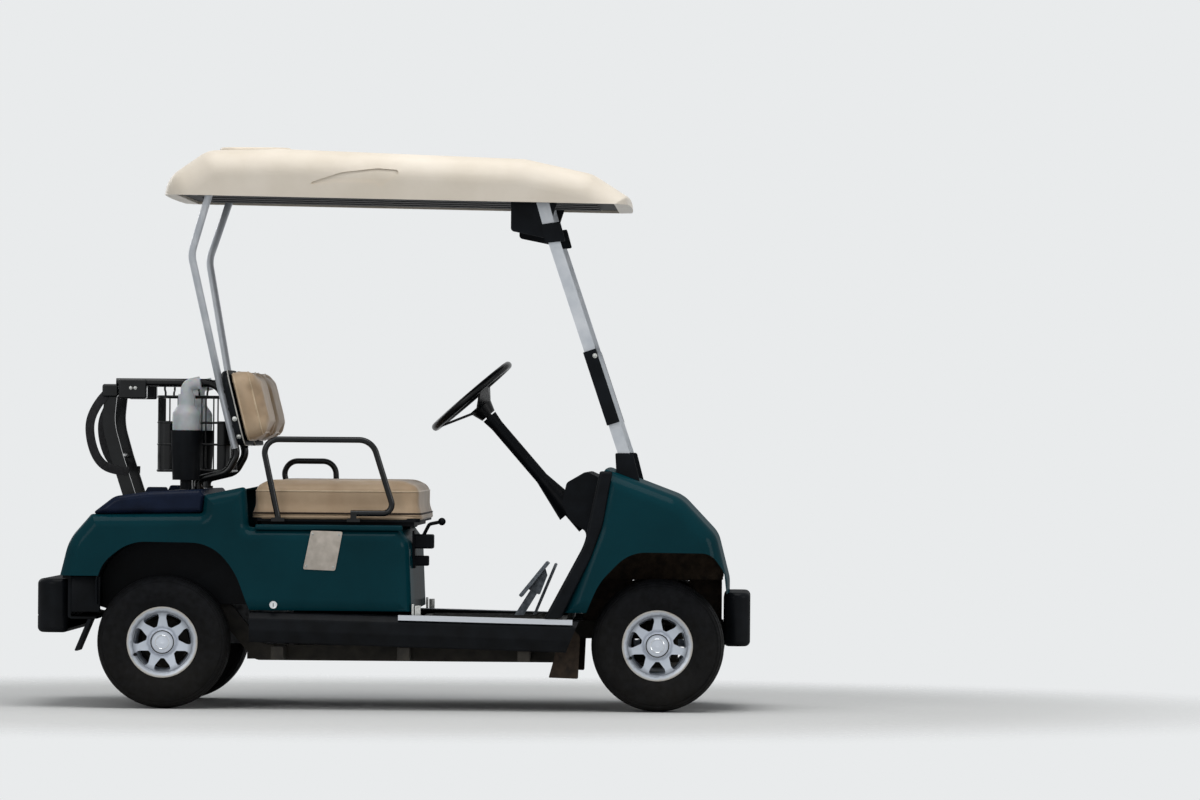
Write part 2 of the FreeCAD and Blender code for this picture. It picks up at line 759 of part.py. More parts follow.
def well_sides(reach, margin):
    """Side outline of the room for the bag tray, up to the cap's top skin."""
    rim = well_rim_z + margin
    return [(well_rear_x, 600.0), (well_front_x, 600.0), (well_front_x, rim), (well_slope_x, rim),
            (well_rear_x - reach, under_cap(well_rear_x - reach) + margin)]


def deck_cap():
    """Dark cap over the rear shell, with a lip over the bag tray's rim."""
    outer = pillow(deck_side, cap_half_width, 20.0, 0.0)
    inner = pillow(inset(deck_side, panel_wall), cap_half_width - panel_wall, 16.0, 0.0)
    cap = outer.cut(inner)
    cap = cap.cut(prism(well_sides(0.0, seat_gap), "xz", -well_half_width, well_half_width))
    cap = cap.cut(box(well_rear_x + 14, well_front_x - 5, 5 - well_half_width, well_half_width - 5, 600, 760))
    rise = prism([(-828.0, 717.0), (-750.0, 722.0), (-757.0, 737.0, 6), (-818.0, 737.0, 8)], "xz", 490, 532)
    return cap.fuse([rise, mirrored(rise)])


def bag_well():
    """Tray that the bags stand in, with ribs on its floor."""
    gap = seat_gap
    x0, x1 = well_rear_x + gap, well_front_x - gap
    y = well_half_width - gap
    rim = well_rim_z
    tray = prism([(x0, -y, 30), (x1, -y, 30), (x1, y, 30), (x0, y, 30)], "xy", well_floor_z, rim)
    hollow = prism([(x0 + 5, 5 - y, 26), (x1 - 5, 5 - y, 26), (x1 - 5, y - 5, 26), (x0 + 5, y - 5, 26)], "xy", well_floor_z + 5, rim + 1)
    ribs = [box(x0 + 20, x1 - 20, y0 - 4, y0 + 4, well_floor_z + 4, well_floor_z + 10) for y0 in range(-400, 401, 100)]
    foot = [box(x0 + 30, x1 - 30, side * 300 - 20, side * 300 + 20, rear_rail_bottom + rail_height + gap, well_floor_z + 1)
            for side in (-1, 1)]
    slope = prism([(x0 - 5, under_cap(x0 - 5)), (well_slope_x, under_cap(well_slope_x)), (well_slope_x, 760.0), (x0 - 5, 760.0)],
                  "xz", -600, 600)
    return fused([tray.cut(hollow)] + ribs + foot).cut(slope)


def selector():
    """Direction lever on its box below the seat, with the latch under it."""
    y0, y1 = -330.0, -250.0
    plate = prism([(60.5, 470.0, 0), (68.5, 470.0, 3), (64.0, 596.0, 3), (57.2, 596.0, 3), (57.2, 545.0, 0)], "xz", y0 - 14, y1 + 14)
    boxed = rounded_block(62.0, 128.0, y0, y1, 536.0, 584.0, 6.0)
    lower = rounded_block(63.0, 112.0, y0 + 16, y1 - 16, 478.0, 512.0, 5.0)
    lever = tube([(90, -290, 575), (112, -290, 618), (150, -290, 626)], 6.0, 14.0)
    knob = Part.makeSphere(13.0, V(154, -290, 627))
    return fused([plate, boxed, lower, lever, knob])


def front_cowl():
    """Front shell with fenders over the steered wheels, open underneath and behind."""
    outer = pillow(front_side, body_half_width, front_shoulder, front_crown)
    inner = pillow(inset(front_side, shell_wall), body_half_width - shell_wall, front_shoulder - shell_wall, front_crown)
    shell = outer.cut(inner)
    shell = shell.cut(prism(front_arch, "xz", -700, 700))
    shell = shell.cut(box(500, 1200, -700, 700, 300, 330))
    shell = shell.cut(box(1000, 1200, -700, 700, 300, 397 + seat_gap))
    strip = inset(edge_strip_side, -seat_gap)
    shell = shell.cut(prism(strip, "xz", -700, 700))
    behind = [(400, 300), (520, 300), (650, 560), (692, 780), (692, 900), (400, 900)]
    return shell.cut(prism(behind, "xz", -700, 700))


def edge_strips():
    """Dark strips from the strut feet down to the sills, joined across by the dash top."""
    strip = prism(edge_strip_side, "xz", front_strut_y - 52, body_half_width + 2)
    rim = [e for e in strip.Edges if e.Length > 60 and abs(e.BoundBox.YMin - body_half_width - 2) < 0.1
           and abs(e.BoundBox.YMax - body_half_width - 2) < 0.1]
    strip = strip.makeFillet(10.0, rim)
    hollow = prism(inset(edge_strip_side, panel_wall), "xz", front_strut_y - 60, body_half_width - 12)
    return pair(strip.cut(hollow))


def dashboard():
    """Dash with two cup holders, two open pockets and the firewall below it."""
    half = front_strut_y - 52 - seat_gap
    body = prism(dash_side, "xz", -half, half)
    for y0, y1 in ((-400.0, -190.0), (-60.0, 100.0)):
        pocket = prism([(540.0, 672.0), (650.0, 672.0, 12), (655.0, 742.0, 12), (540.0, 742.0)], "xz", y0, y1)
        body = body.cut(pocket)
    for y in cup_places:
        body = body.cut(rod((cup_x, y, 680.0), (cup_x, y, 820.0), cup_radius))
    return body


def bumper(x_face, depth, low, high, half_width, corner_radius, lean):
    """Rounded bumper bar with a drip line; x_face is its outer face."""
    side = 1 if x_face > 0 else -1
    back = x_face - side * depth
    plan = [(back, -half_width + lean, 24), (x_face, -half_width, corner_radius), (x_face, half_width, corner_radius),
            (back, half_width - lean, 24)]
    if side < 0:
        plan = list(reversed(plan))
    block = prism(plan, "xy", low, high)
    rims = [e for e in block.Edges if abs(e.BoundBox.ZMax - e.BoundBox.ZMin) < 0.1]
    block = block.makeFillet(bumper_edge_radius, rims)
    return block


def front_bumper():
    bar = bumper(bumper_front_x, 90.0, 216.0, 397.0, 335.0, 44.0, 52.0)
    hollow = box(1080, bumper_front_x - 14, -240, 240, 232, 382)
    stay = [box(1100 + seat_gap, 1185, side * 165 - 25, side * 165 + 25, 236, 296) for side in (-1, 1)]
    return fused([bar.cut(hollow)] + stay)


def rear_bumper():
    bar = bumper(bumper_rear_x, 106.0, 248.0, 428.0, 470.0, 60.0, 10.0)
    seam = box(bumper_rear_x - 5, bumper_rear_x + 3, -480, 480, 303, 307)
    hollow = box(bumper_rear_x + 14, -1080, -440, 440, 262, 414)
    stay = [box(bumper_rear_x + 13, -1066 - seat_gap, side * 300 - 25, side * 300 + 25, 335, 387) for side in (-1, 1)]
    return fused([bar.cut(seam).cut(hollow)] + stay)


def rear_valance():
    """Dark closing panel between the rear shell and the bumper, with a flap behind each wheel."""
    wall = prism([(-1100.0, 431.0, 0), (-1082.0, 431.0, 0), (-1082.0, 300.0, 8), (-1070.0, 296.0, 0), (-986.0, 296.0, 0),
                  (-986.0, 303.0, 0), (-1072.0, 303.0, 4), (-1072.0, 440.7, 0), (-1100.0, 440.7, 0)], "xz", -520.0, 520.0)
    for side in (-1, 1):
        wall = wall.cut(box(-1090, -960, side * 300 - 32, side * 300 + 32, 290, 395))
    flaps = []
    for side in (-1, 1):
        y0, y1 = sorted((side * 400.0, side * 560.0))
        flaps.append(prism([(-1012.0, 295.7), (-1000.0, 295.7), (-1044.0, 190.0, 3), (-1056.0, 190.0, 3)], "xz", y0, y1))
    return Part.makeCompound([wall] + flaps)


def front_flaps():
    """Flaps behind the front wheels, hung under the floor's front edge, each with a splash panel beside it."""
    flaps = []
    top = floor_top - floor_thickness - seat_gap
    for side in (-1, 1):
        y0, y1 = sorted((side * 380.0, side * 500.0))
        flap = prism([(570.0, top, 0), (578.0, top, 0), (530.0, 112.0, 3), (522.0, 112.0, 3)], "xz", y0, y1)
        y0, y1 = sorted((side * 494.0, side * 500.0))
        panel = prism([(572.0, top, 0), (588.0, top, 0), (626.0, 250.0, 12), (620.0, 109.0, 5), (524.0, 112.0, 0)], "xz", y0, y1)
        flaps.append(flap.fuse(panel))
    return Part.makeCompound(flaps)


def wheel_liner(arch, inner_y, shell_side, shoulder, crown):
    """Dark inner arch over one left wheel, trimmed to the inside of its shell."""
    band = prism(inset(arch, -4.0), "xz", inner_y, body_half_width)
    hole = prism(inset(arch, -1.0), "xz", inner_y + 3.0, body_half_width + 1)
    room = pillow(inset(shell_side, shell_wall + 0.5), body_half_width - shell_wall - 0.5, shoulder - shell_wall - 0.5, crown)
    return band.cut(hole).common(box(-1300, 1100, 0, 700, 345, 900)).common(room)


def rear_liners():
    return pair(wheel_liner(rear_arch, 345.0, rear_side, rear_shoulder, 0.0))


def front_liners():
    liner = wheel_liner(front_arch, 296.0, front_side, front_shoulder, front_crown)
    liner = liner.cut(Part.makeCylinder(front_sweep_radius + 8, 240, V(front_axle_x, kingpin_y, 200)))
    return pair(liner.cut(prism(inset(edge_strip_side, -2.0), "xz", 100, 700)))


# Seat

def seat_pan():
    """Board under the cushion with hinge eyes at its rear edge and a skirt that hides the gap over the deck."""
    board = prism([(pan_rear_x, -pan_half_width, 20), (pan_front_x, -pan_half_width, 40), (pan_front_x, pan_half_width, 40),
                   (pan_rear_x, pan_half_width, 20)], "xy", pan_bottom, pan_bottom + pan_thickness)
    z = pan_bottom
    eyes = []
    for side in (-1, 1):
        eyes.append(rod((hinge_x, side * 300 - 30, z), (hinge_x, side * 300 + 30, z), hinge_eye_radius))
        eyes.append(box(hinge_x, hinge_x + 40, side * 300 - 30, side * 300 + 30, z - 5, z + 1))
    for side in (-1, 1):
        board = board.cut(box(pan_rear_x - 1, hinge_x + 16, side * 300 - 52, side * 300 + 52, z - 1, z + 20))
    outer = [(hinge_x + 20, -skirt_half_width), (pan_front_x - 20, -skirt_half_width), (pan_front_x - 20, skirt_half_width),
             (hinge_x + 20, skirt_half_width)]
    skirt = prism(outer, "xy", seat_deck_z + skirt_gap, z + 1).cut(prism(inset(outer, 6.0), "xy", 600, 700))
    skirt = skirt.cut(box(hinge_x, hinge_x + 30, -skirt_half_width + 30, skirt_half_width - 30, 600, 700))
    shape = fused([board, skirt] + eyes)
    for side in (-1, 1):
        shape = shape.cut(rod((hinge_x, side * 300 - 40, z), (hinge_x, side * 300 + 40, z), hinge_pin_radius + shaft_clearance))
    return shape


def seat_supports():
    """Hinge pins with their brackets, and the rests under the seat's front edge."""
    z = pan_bottom
    parts = []
    for side in (-1, 1):
        pin = rod((hinge_x, side * 300 - 46, z), (hinge_x, side * 300 + 46, z), hinge_pin_radius)
        ears = []
        for y in (side * 300 - 38, side * 300 + 38):
            ears.append(box(hinge_x - hinge_ear_radius, hinge_x + hinge_ear_radius, y - 4, y + 4, 596.0, z))
            ears.append(rod((hinge_x, y - 4, z), (hinge_x, y + 4, z), hinge_ear_radius))
        base = box(hinge_x - 24, hinge_x + 12, side * 300 - 46, side * 300 + 46, 592.0, 600.0)
        leg = box(hinge_x - 24, hinge_x - 12, side * 300 - 24, side * 300 + 24, 266.5, 600.0)
        rest = rod((-2.0, side * 340, seat_deck_z + seat_gap), (-2.0, side * 340, pan_bottom - seat_gap), 12.0)
        parts += [fused([pin] + ears + [base, leg]), rest]
    return parts


def seat_cushion():
    """Bench cushion, plain solid with rounded edges."""
    low = pan_bottom + pan_thickness + seat_gap
    block = prism([(cushion_rear_x, -cushion_half_width, 50), (cushion_front_x, -cushion_half_width, 70),
                   (cushion_front_x, cushion_half_width, 70), (cushion_rear_x, cushion_half_width, 50)], "xy", low, cushion_top)
    rims = [e for e in block.Edges if e.BoundBox.ZMin > cushion_top - 1]
    return block.makeFillet(38.0, rims)


def hip_restraint(side, points, bends, feet):
    """Side tube on the seat board, with flat feet bolted to the board's edge."""
    bar = tube([(x, side * restraint_y, z) for x, z in points], restraint_radius, bends)
    plates = []
    for x, top in feet:
        y0, y1 = sorted((side * (pan_half_width + seat_gap), side * (restraint_y + restraint_radius)))
        plates.append(box(x - 22, x + 22, y0, y1, pan_bottom, pan_bottom + pan_thickness))
        y0, y1 = sorted((side * (restraint_y - restraint_radius), side * (restraint_y + restraint_radius)))
        plates.append(box(x - 10, x + 10, y0, y1, pan_bottom + 2, top))
    return fused([bar] + plates)


def hip_restraints():
    passenger = hip_restraint(-1, [(-382, 640), (-438, 899), (-70, 899), (8, 655), (-140, 655)], [0, 45, 60, 30, 0],
                              [(-382, 642), (-130, 652)])
    driver = hip_restraint(1, [(-240, 640), (-250, 824), (-436, 824), (-400, 655), (-370, 640)], [0, 45, 45, 20, 0],
                           [(-240, 642), (-372, 642)])
    return Part.makeCompound([passenger, driver])


def tilted(shape):
    """Lean a backrest piece back about its lower rear edge."""
    shape.rotate(V(shell_rear_x, 0, shell_low), V(0, 1, 0), -backrest_tilt)
    return shape


def behind_back(up, depth):
    """Side position (x, z) up the backrest's rear face and depth behind it."""
    c, n = cos(radians(backrest_tilt)), sin(radians(backrest_tilt))
    return shell_rear_x - n * up - c * depth, shell_low + c * up - n * depth


def backrest_shell():
    """Moulded tray behind one backrest pad."""
    y0, y1 = backrest_inner_y, backrest_outer_y
    z0, z1 = shell_low, shell_low + shell_height
    front = shell_rear_x + shell_thickness
    block = prism([(y0, z0, 55), (y1, z0, 55), (y1, z1, 55), (y0, z1, 55)], "yz", shell_rear_x, front)
    rims = [e for e in block.Edges if e.BoundBox.XMax < shell_rear_x + 1]
    block = block.makeFillet(14.0, rims)
    ribs = [box(shell_rear_x - shell_rib, shell_rear_x + 4, y0 + 60, y1 - 60, z - 5, z + 5) for z in (z0 + 70, z0 + 130, z0 + 190)]
    return tilted(fused([block] + ribs))


def backrest_pad():
    y0, y1 = backrest_inner_y + pad_margin, backrest_outer_y - pad_margin
    z0, z1 = shell_low + pad_margin, shell_low + shell_height - pad_margin
    back = shell_rear_x + shell_thickness + seat_gap
    block = prism([(y0, z0, 50), (y1, z0, 50), (y1, z1, 50), (y0, z1, 50)], "yz", back, back + pad_thickness)
    rims = [e for e in block.Edges if e.BoundBox.XMin > back + pad_thickness - 1]
    return tilted(block.makeFillet(34.0, rims))


# Bag rack

rack_foot_x = -893.0
rack_upright_side = [
    (rack_foot_x - 21, well_floor_z + 8, 0.0),
    (rack_foot_x + 21, well_floor_z + 8, 0.0),
    (rack_foot_x + 21, 680.0, 160.0),
    (-925.0, 841.0, 300.0),
    (-956.0, 951.0, 200.0),
    (-946.0, 1050.0, 0.0),
    (-988.0, 1050.0, 0.0),
    (-998.0, 947.0, 240.0),
    (-967.0, 836.0, 260.0),
    (rack_foot_x - 21, 672.0, 120.0),
]


def rack_frame():
    """Side bars, cross bars and the legs down to the deck behind the backrests."""
    bars = []
    depth = shell_rib + bracket_thickness + 2 * seat_gap + rack_radius
    low_x, low_z = behind_back(-20.0, depth)
    top_x, top_z = behind_back((rack_bar_z - shell_low) / cos(radians(backrest_tilt)) + 6.0, depth)
    for side in (-1, 1):
        y = side * rack_y
        bars.append(tube([(rack_rear_x, y, rack_bar_z), (top_x, y, rack_bar_z), (low_x, y, low_z), (-575, y, 786), (-672, y, 762), (-672, y, 736)],
                         rack_radius, [0, 60, 50, 50, 22, 0]))
        bars.append(rod((-672, y, 729.8), (-672, y, 738), 20.0))
        bars.append(prism(rack_upright_side, "xz", y - 8, y + 8))
        bars.append(box(rack_foot_x - 26, rack_foot_x + 26, y - 15, y + 15, well_floor_z + 5 + seat_gap, well_floor_z + 11))
        bars.append(rounded_block(-941.0, -846.0, y - 26, y + 26, 1032.0, 1098.0, 7.0))
        bars.append(rounded_block(-996.0, -943.0, y - 22, y + 22, 1037.0, 1081.0, 8.0))
    bars.append(tube([(-600, -rack_y, rack_bar_z), (-600, rack_y, rack_bar_z)], rack_radius, 0))
    bars.append(tube([(-972, -rack_y, 1060), (-972, rack_y, 1060)], 15.0, 0))
    bars.append(tube([(-948, -rack_y, 840), (-948, rack_y, 840)], 9.0, 0))
    return fused(bars)


def rack_brackets():
    """Plates that carry the backrests on the rack legs and clamp the roof struts."""
    front = shell_rear_x - shell_rib - seat_gap
    plates = []
    for side in (-1, 1):
        y0, y1 = sorted((side * 204.0, side * 290.0))
        plates.append(tilted(box(front - bracket_thickness, front, y0, y1, shell_low + 30, shell_low + 190)))
    return Part.makeCompound(plates)


def rear_struts():
    """Bent tubes from beside the rack legs up to the roof's rear corners."""
    depth = shell_rib + bracket_thickness + 2 * seat_gap + strut_radius
    low_x, low_z = behind_back(0.0, depth)
    top_x, top_z = behind_back(200.0, depth)
    roof_x = -622.0
    strut = tube([(low_x, strut_y, low_z), (top_x, strut_y, top_z), (-686, 430, 1515), (-618, 504, 1732)], strut_radius, [0, 80, 110, 0])
    x0, x1 = -700.0, -550.0
    liner_room = prism([(x0, roof_edge(x0) + roof_wall), (x1, roof_edge(x1) + roof_wall), (x1, 1800), (x0, 1800)], "xz", 400, 600)
    return strut.cut(liner_room)


def basket():
    """Wire basket behind the backrests, open at the top."""
    x0, x1 = basket_rear_x, basket_front_x
    y = basket_half_width
    hoops = [(basket_top, basket_rim_radius), (basket_top - 87, basket_wire_radius + 1), (basket_top - 161, basket_wire_radius + 1),
             (basket_low + basket_rim_radius, basket_rim_radius)]
    wires = []
    for z, radius in hoops:
        path = [(x0, 0, z), (x0, -y, z), (x1, -y, z), (x1, y, z), (x0, y, z), (x0, 0, z)]
        wires.append(tube(path, radius, [0, 25, 25, 25, 25, 0]))
    low, high = basket_low + basket_rim_radius, basket_top
    across = int(2 * y / basket_pitch)
    along = int((x1 - x0) / basket_pitch)
    for i in range(1, across + 1):
        place = -y + 2 * y * i / (across + 1)
        wires.append(tube([(x0, place, high), (x0, place, low), (x1, place, low), (x1, place, high)], basket_wire_radius, [0, 12, 12, 0]))
    for i in range(1, along + 1):
        place = x0 + (x1 - x0) * i / (along + 1)
        wires.append(tube([(place, -y, high), (place, -y, low), (place, y, low), (place, y, high)], basket_wire_radius, [0, 12, 12, 0]))
    for edge, inward in ((x0, 1), (x1, -1)):
        for side in (-1, 1):
            plate = [(edge - inward * 1.5, side * (y - 42), 0), (edge - inward * 1.5, side * (y + 1.5), 26.5),
                     (edge + inward * 42, side * (y + 1.5), 0), (edge + inward * 42, side * (y - 1.5), 0),
                     (edge + inward * 1.5, side * (y - 1.5), 23.5), (edge + inward * 1.5, side * (y - 42), 0)]
            wires.append(prism(plate, "xy", basket_low + 2, basket_top - 82))
    for x in (x0 + 26, x1 - 104):
        for side in (-1, 1):
            hook = [(x, side * y, high - 4), (x, side * y, high + 16), (x, side * rack_y, high + 22), (x, side * rack_y, rack_bar_z - rack_radius - seat_gap)]
            wires.append(tube(hook, 3.5, [0, 5, 5, 0]))
    return fused(wires)


def bottle_holder(side):
    """Tapered cup on a foot, clamped beside the basket."""
    y = side * bottle_y
    cup = Part.makeCone(holder_radius - 8, holder_radius, holder_top - holder_low, V(bottle_x, y, holder_low), V(0, 0, 1))
    hollow = Part.makeCone(holder_radius - 8 - holder_wall + 0.3, holder_radius - holder_wall + 0.3, holder_top - holder_low,
                           V(bottle_x, y, holder_low + 6), V(0, 0, 1))
    foot = rod((bottle_x, y, 728.2), (bottle_x, y, holder_low + 1), 20.0)
    return fused([cup.cut(hollow), foot])


def sand_bottle(side):
    """Sand bottle with a shoulder, neck and bent spout."""
    y = side * bottle_y
    low = holder_low + 6 + seat_gap
    body = [(0.0, low), (40.5, low, 5), (bottle_radius - 1, low + 140, 0), (bottle_radius, low + 168, 0), (bottle_radius, 985.0, 25), (28.5, 1012.0, 12), (28.5, 1048.0, 0), (0.0, 1048.0)]
    spots = [V(bottle_x + p[0], y, p[1]) for p in body]
    face = Part.Face(rounded_wire(spots, [p[2] if len(p) > 2 else 0.0 for p in body], True))
    flask = face.revolve(V(bottle_x, y, 0), V(0, 0, 1), 360)
    spout = tube([(bottle_x, y, 1040), (bottle_x, y, 1078), (bottle_x + 46, y, 1088)], 21.0, [0, 22, 0])
    return fused([flask, spout])


# Front struts, glass and roof

front_strut_side = [
    (763.0, 812.0, 0.0),
    (803.0, 812.0, 0.0),
    (533.0, 1612.0, 60.0),
    (509.0, roof_edge_front + 4.0 + roof_wall, 0.0),
    (466.0, roof_edge_front + 4.0 + roof_wall, 0.0),
    (494.0, 1606.0, 60.0),
]


def front_struts():
    """Flat extrusions beside the windshield, from the cowl to the roof."""
    half = front_strut_depth / 2
    return prism(front_strut_side, "xz", front_strut_y - half, front_strut_y + half)


def strut_feet():
    """Moulded foot of a front strut on the cowl and the folding clamp near its top."""
    half = front_strut_depth / 2 + seat_gap
    hollow = prism(inset(front_strut_side, -seat_gap), "xz", front_strut_y - half, front_strut_y + half)
    clamp = prism([(500.0, 1560.0, 5), (566.0, 1568.0, 5), (548.0, 1632.0, 5), (484.0, 1622.0, 5)], "xz",
                  front_strut_y - half - 4, front_strut_y + half + 4)
    foot = prism([(742.0, 798.5, 0), (820.0, 769.3, 0), (796.0, 862.0, 8), (738.0, 862.0, 5)], "xz",
                 front_strut_y - half - 5, front_strut_y + half + 5)
    room = glass_panel(glass_low_z - 40, glass_high_z + 2, glass_thickness + 2 * seat_gap, front_strut_y)
    outer = front_strut_y + half
    sleeve = prism([(710.0, 953.0, 2), (752.0, 967.0, 2), (670.0, 1210.0, 2), (628.0, 1196.0, 2)], "xz", outer, outer + 8)
    box_side = [(384.0, 1600.0, 12), (500.0, 1577.0, 12), (540.0, roof_edge(540.0) + roof_wall, 0), (384.0, roof_edge(384.0) + roof_wall, 0)]
    housing = prism(box_side, "xz", front_strut_y - half, front_strut_y + half - 2 * seat_gap)
    return Part.makeCompound([clamp.cut(hollow).cut(room), foot.cut(hollow).cut(room), sleeve, housing.cut(hollow).cut(clamp)])


def glass_hinge():
    """Dark strip that joins the two halves of the windshield."""
    strip = glass_panel(glass_split_z - 14, glass_split_z + 14, glass_thickness + 7, glass_half_width)
    for low, high in ((glass_low_z, glass_split_z - glass_joint / 2), (glass_split_z + glass_joint / 2, glass_high_z)):
        strip = strip.cut(glass_panel(low, high, glass_thickness + 2 * seat_gap, glass_half_width + 1))
    return strip


def glass_panel(low_z, high_z, thickness, half_width):
    """Sheet between the front struts, along their slope."""
    slope = (533.0 - 803.0) / (1612.0 - 812.0)
    middle = (763.0 + 803.0) / 2
    t = thickness / 2 * sqrt(1 + slope * slope)
    low_x = middle + slope * (low_z - 812.0)
    high_x = middle + slope * (high_z - 812.0)
    return prism([(low_x - t, low_z), (low_x + t, low_z), (high_x + t, high_z), (high_x - t, high_z)], "xz", -half_width, half_width)


def below_edge(lift, half_width, margin):
    """Everything under the roof's lower edge line raised by lift."""
    x0, x1 = roof_rear_x + margin, roof_front_x - margin
    return prism([(x0, 1500.0), (x1, 1500.0), (x1, roof_edge(x1) + lift), (x0, roof_edge(x0) + lift)], "xz", -half_width, half_width)


def roof():
    """Crowned canopy shell with a narrow flange round its open underside."""
    outer = pillow(roof_side, roof_half_width, roof_shoulder, 8.0)
    inner = pillow(inset(roof_side, roof_wall), roof_half_width - roof_wall, roof_shoulder - roof_wall, 8.0)
    shell = outer.cut(below_edge(0.0, 700.0, -60.0))
    cavity = inner.cut(below_edge(roof_wall, 700.0, -60.0))
    shell = shell.cut(cavity)
    cap = prism([(-606.0, -300.0, 70), (-366.0, -300.0, 70), (-366.0, 300.0, 70), (-606.0, 300.0, 70)], "xy", 1850.0, roof_cap_top)
    rims = [e for e in cap.Edges if e.BoundBox.ZMin > roof_cap_top - 1]
    shell = shell.fuse(cap.makeFillet(7.0, rims).cut(cavity))
    deep = pillow(inset(roof_side, scoop_depth), roof_half_width - scoop_depth, roof_shoulder - scoop_depth, 8.0)
    scoop = prism(scoop_side, "xz", -roof_half_width - 5, roof_half_width + 5).cut(deep)
    shell = shell.cut(scoop)
    return shell.cut(below_edge(roof_wall + 1.0, roof_half_width - roof_flange, roof_flange + 12.0))


def roof_liner():
    """Flat ceiling that rests on the roof's flange, over the strut tops."""
    low = roof_wall + 2 * seat_gap
    x0, x1 = roof_rear_x + 46.0, roof_front_x - 46.0
    half = roof_half_width - roof_wall - 31.0
    sheet = prism([(x0, roof_edge(x0) + low), (x1, roof_edge(x1) + low), (x1, roof_edge(x1) + low + 6.0), (x0, roof_edge(x0) + low + 6.0)],
                  "xz", -half, half)
    ribs = [prism([(x0 + 60, roof_edge(x0 + 60) + low - 7), (x1 - 60, roof_edge(x1 - 60) + low - 7),
                   (x1 - 70, roof_edge(x1 - 70) + low + 1), (x0 + 70, roof_edge(x0 + 70) + low + 1)], "xz", y - 60, y + 60)
            for y in (-330.0, -110.0, 110.0, 330.0)]
    return fused([sheet] + ribs)


# Steering wheel, column and pedals

def along_column(distance, across=0.0):
    """Point below the steering wheel's centre, measured down the column, and sideways in its plane."""
    c, n = cos(radians(column_angle)), sin(radians(column_angle))
    return V(wheel_center_x + c * distance + n * across, wheel_center_y, wheel_center_z - n * distance + c * across)


def steering_wheel():
    """Padded ring dished down to its hub by three wide spokes, with the shaft below."""
    down = along_column(1).sub(along_column(0))
    ring = Part.makeTorus(wheel_ring_radius, wheel_grip_radius, along_column(0), down)
    hub = Part.makeCone(44.0, 28.0, hub_height, along_column(hub_depth), down)
    shaft = Part.makeCylinder(steering_shaft_radius, 150.0, along_column(hub_depth + hub_height - 6.0), down)
    inner = outline([(-30.0, -hub_depth - 14.0), (30.0, -hub_depth - 14.0), (30.0, -hub_depth - 5.0), (-30.0, -hub_depth - 5.0)], "yz", 26.0)
    rim = outline([(-15.0, -9.0), (15.0, -9.0), (15.0, -1.0), (-15.0, -1.0)], "yz", wheel_ring_radius - 4.0)
    spoke = Part.makeLoft([inner, rim], True, True)
    spokes = []
    for turn in spoke_turns:
        one = spoke.copy()
        one.rotate(V(0, 0, 0), V(0, 0, 1), turn)
        one.rotate(V(0, 0, 0), V(0, 1, 0), column_angle - 90.0)
        one.translate(along_column(0))
        spokes.append(one)
    return fused([ring, hub, shaft] + spokes)


def steering_column():
    """Column tube from under the steering wheel to the dash, with a shroud at its foot."""
    down = along_column(1).sub(along_column(0))
    top = hub_depth + hub_height + 5.0
    body = Part.makeCylinder(column_radius, column_length, along_column(top), down)
    collar = Part.makeCone(27.0, column_radius, 40.0, along_column(top), down)
    shroud = Part.makeCone(column_radius, 46.0, 150.0, along_column(column_length - 130), down)
    whole = fused([body, collar, shroud])
    bore = Part.makeCylinder(steering_shaft_radius + shaft_clearance, 160.0, along_column(top - 5), down)
    dash = prism(inset(dash_side, -seat_gap), "xz", -500.0, 500.0)
    kept = whole.cut(bore).cut(dash)
    return max(kept.Solids, key=lambda s: s.BoundBox.ZMax)


def pedals():
    """Brake pedal on its arm and the accelerator hinged at the floor."""
    z = floor_top + seat_gap
    pad = prism([(399.0, 372.0, 4), (409.0, 364.0, 4), (504.0, 482.0, 4), (494.0, 490.0, 4)], "xz", 196.0, 322.0)
    web = prism([(430.0, 392.0, 4), (470.0, 372.0, 6), (496.0, 440.0, 6), (488.0, 468.0, 4)], "xz", 250.0, 262.0)
    arm = prism([(382.0, z, 3), (414.0, z, 3), (470.0, 392.0, 8), (446.0, 402.0, 8)], "xz", 244.0, 268.0)
    brake = fused([pad, web, arm])
    treadle = prism([(444.0, z, 2), (454.0, z, 2), (528.0, 478.0, 4), (519.0, 482.0, 4)], "xz", 340.0, 402.0)
    return [brake, treadle]


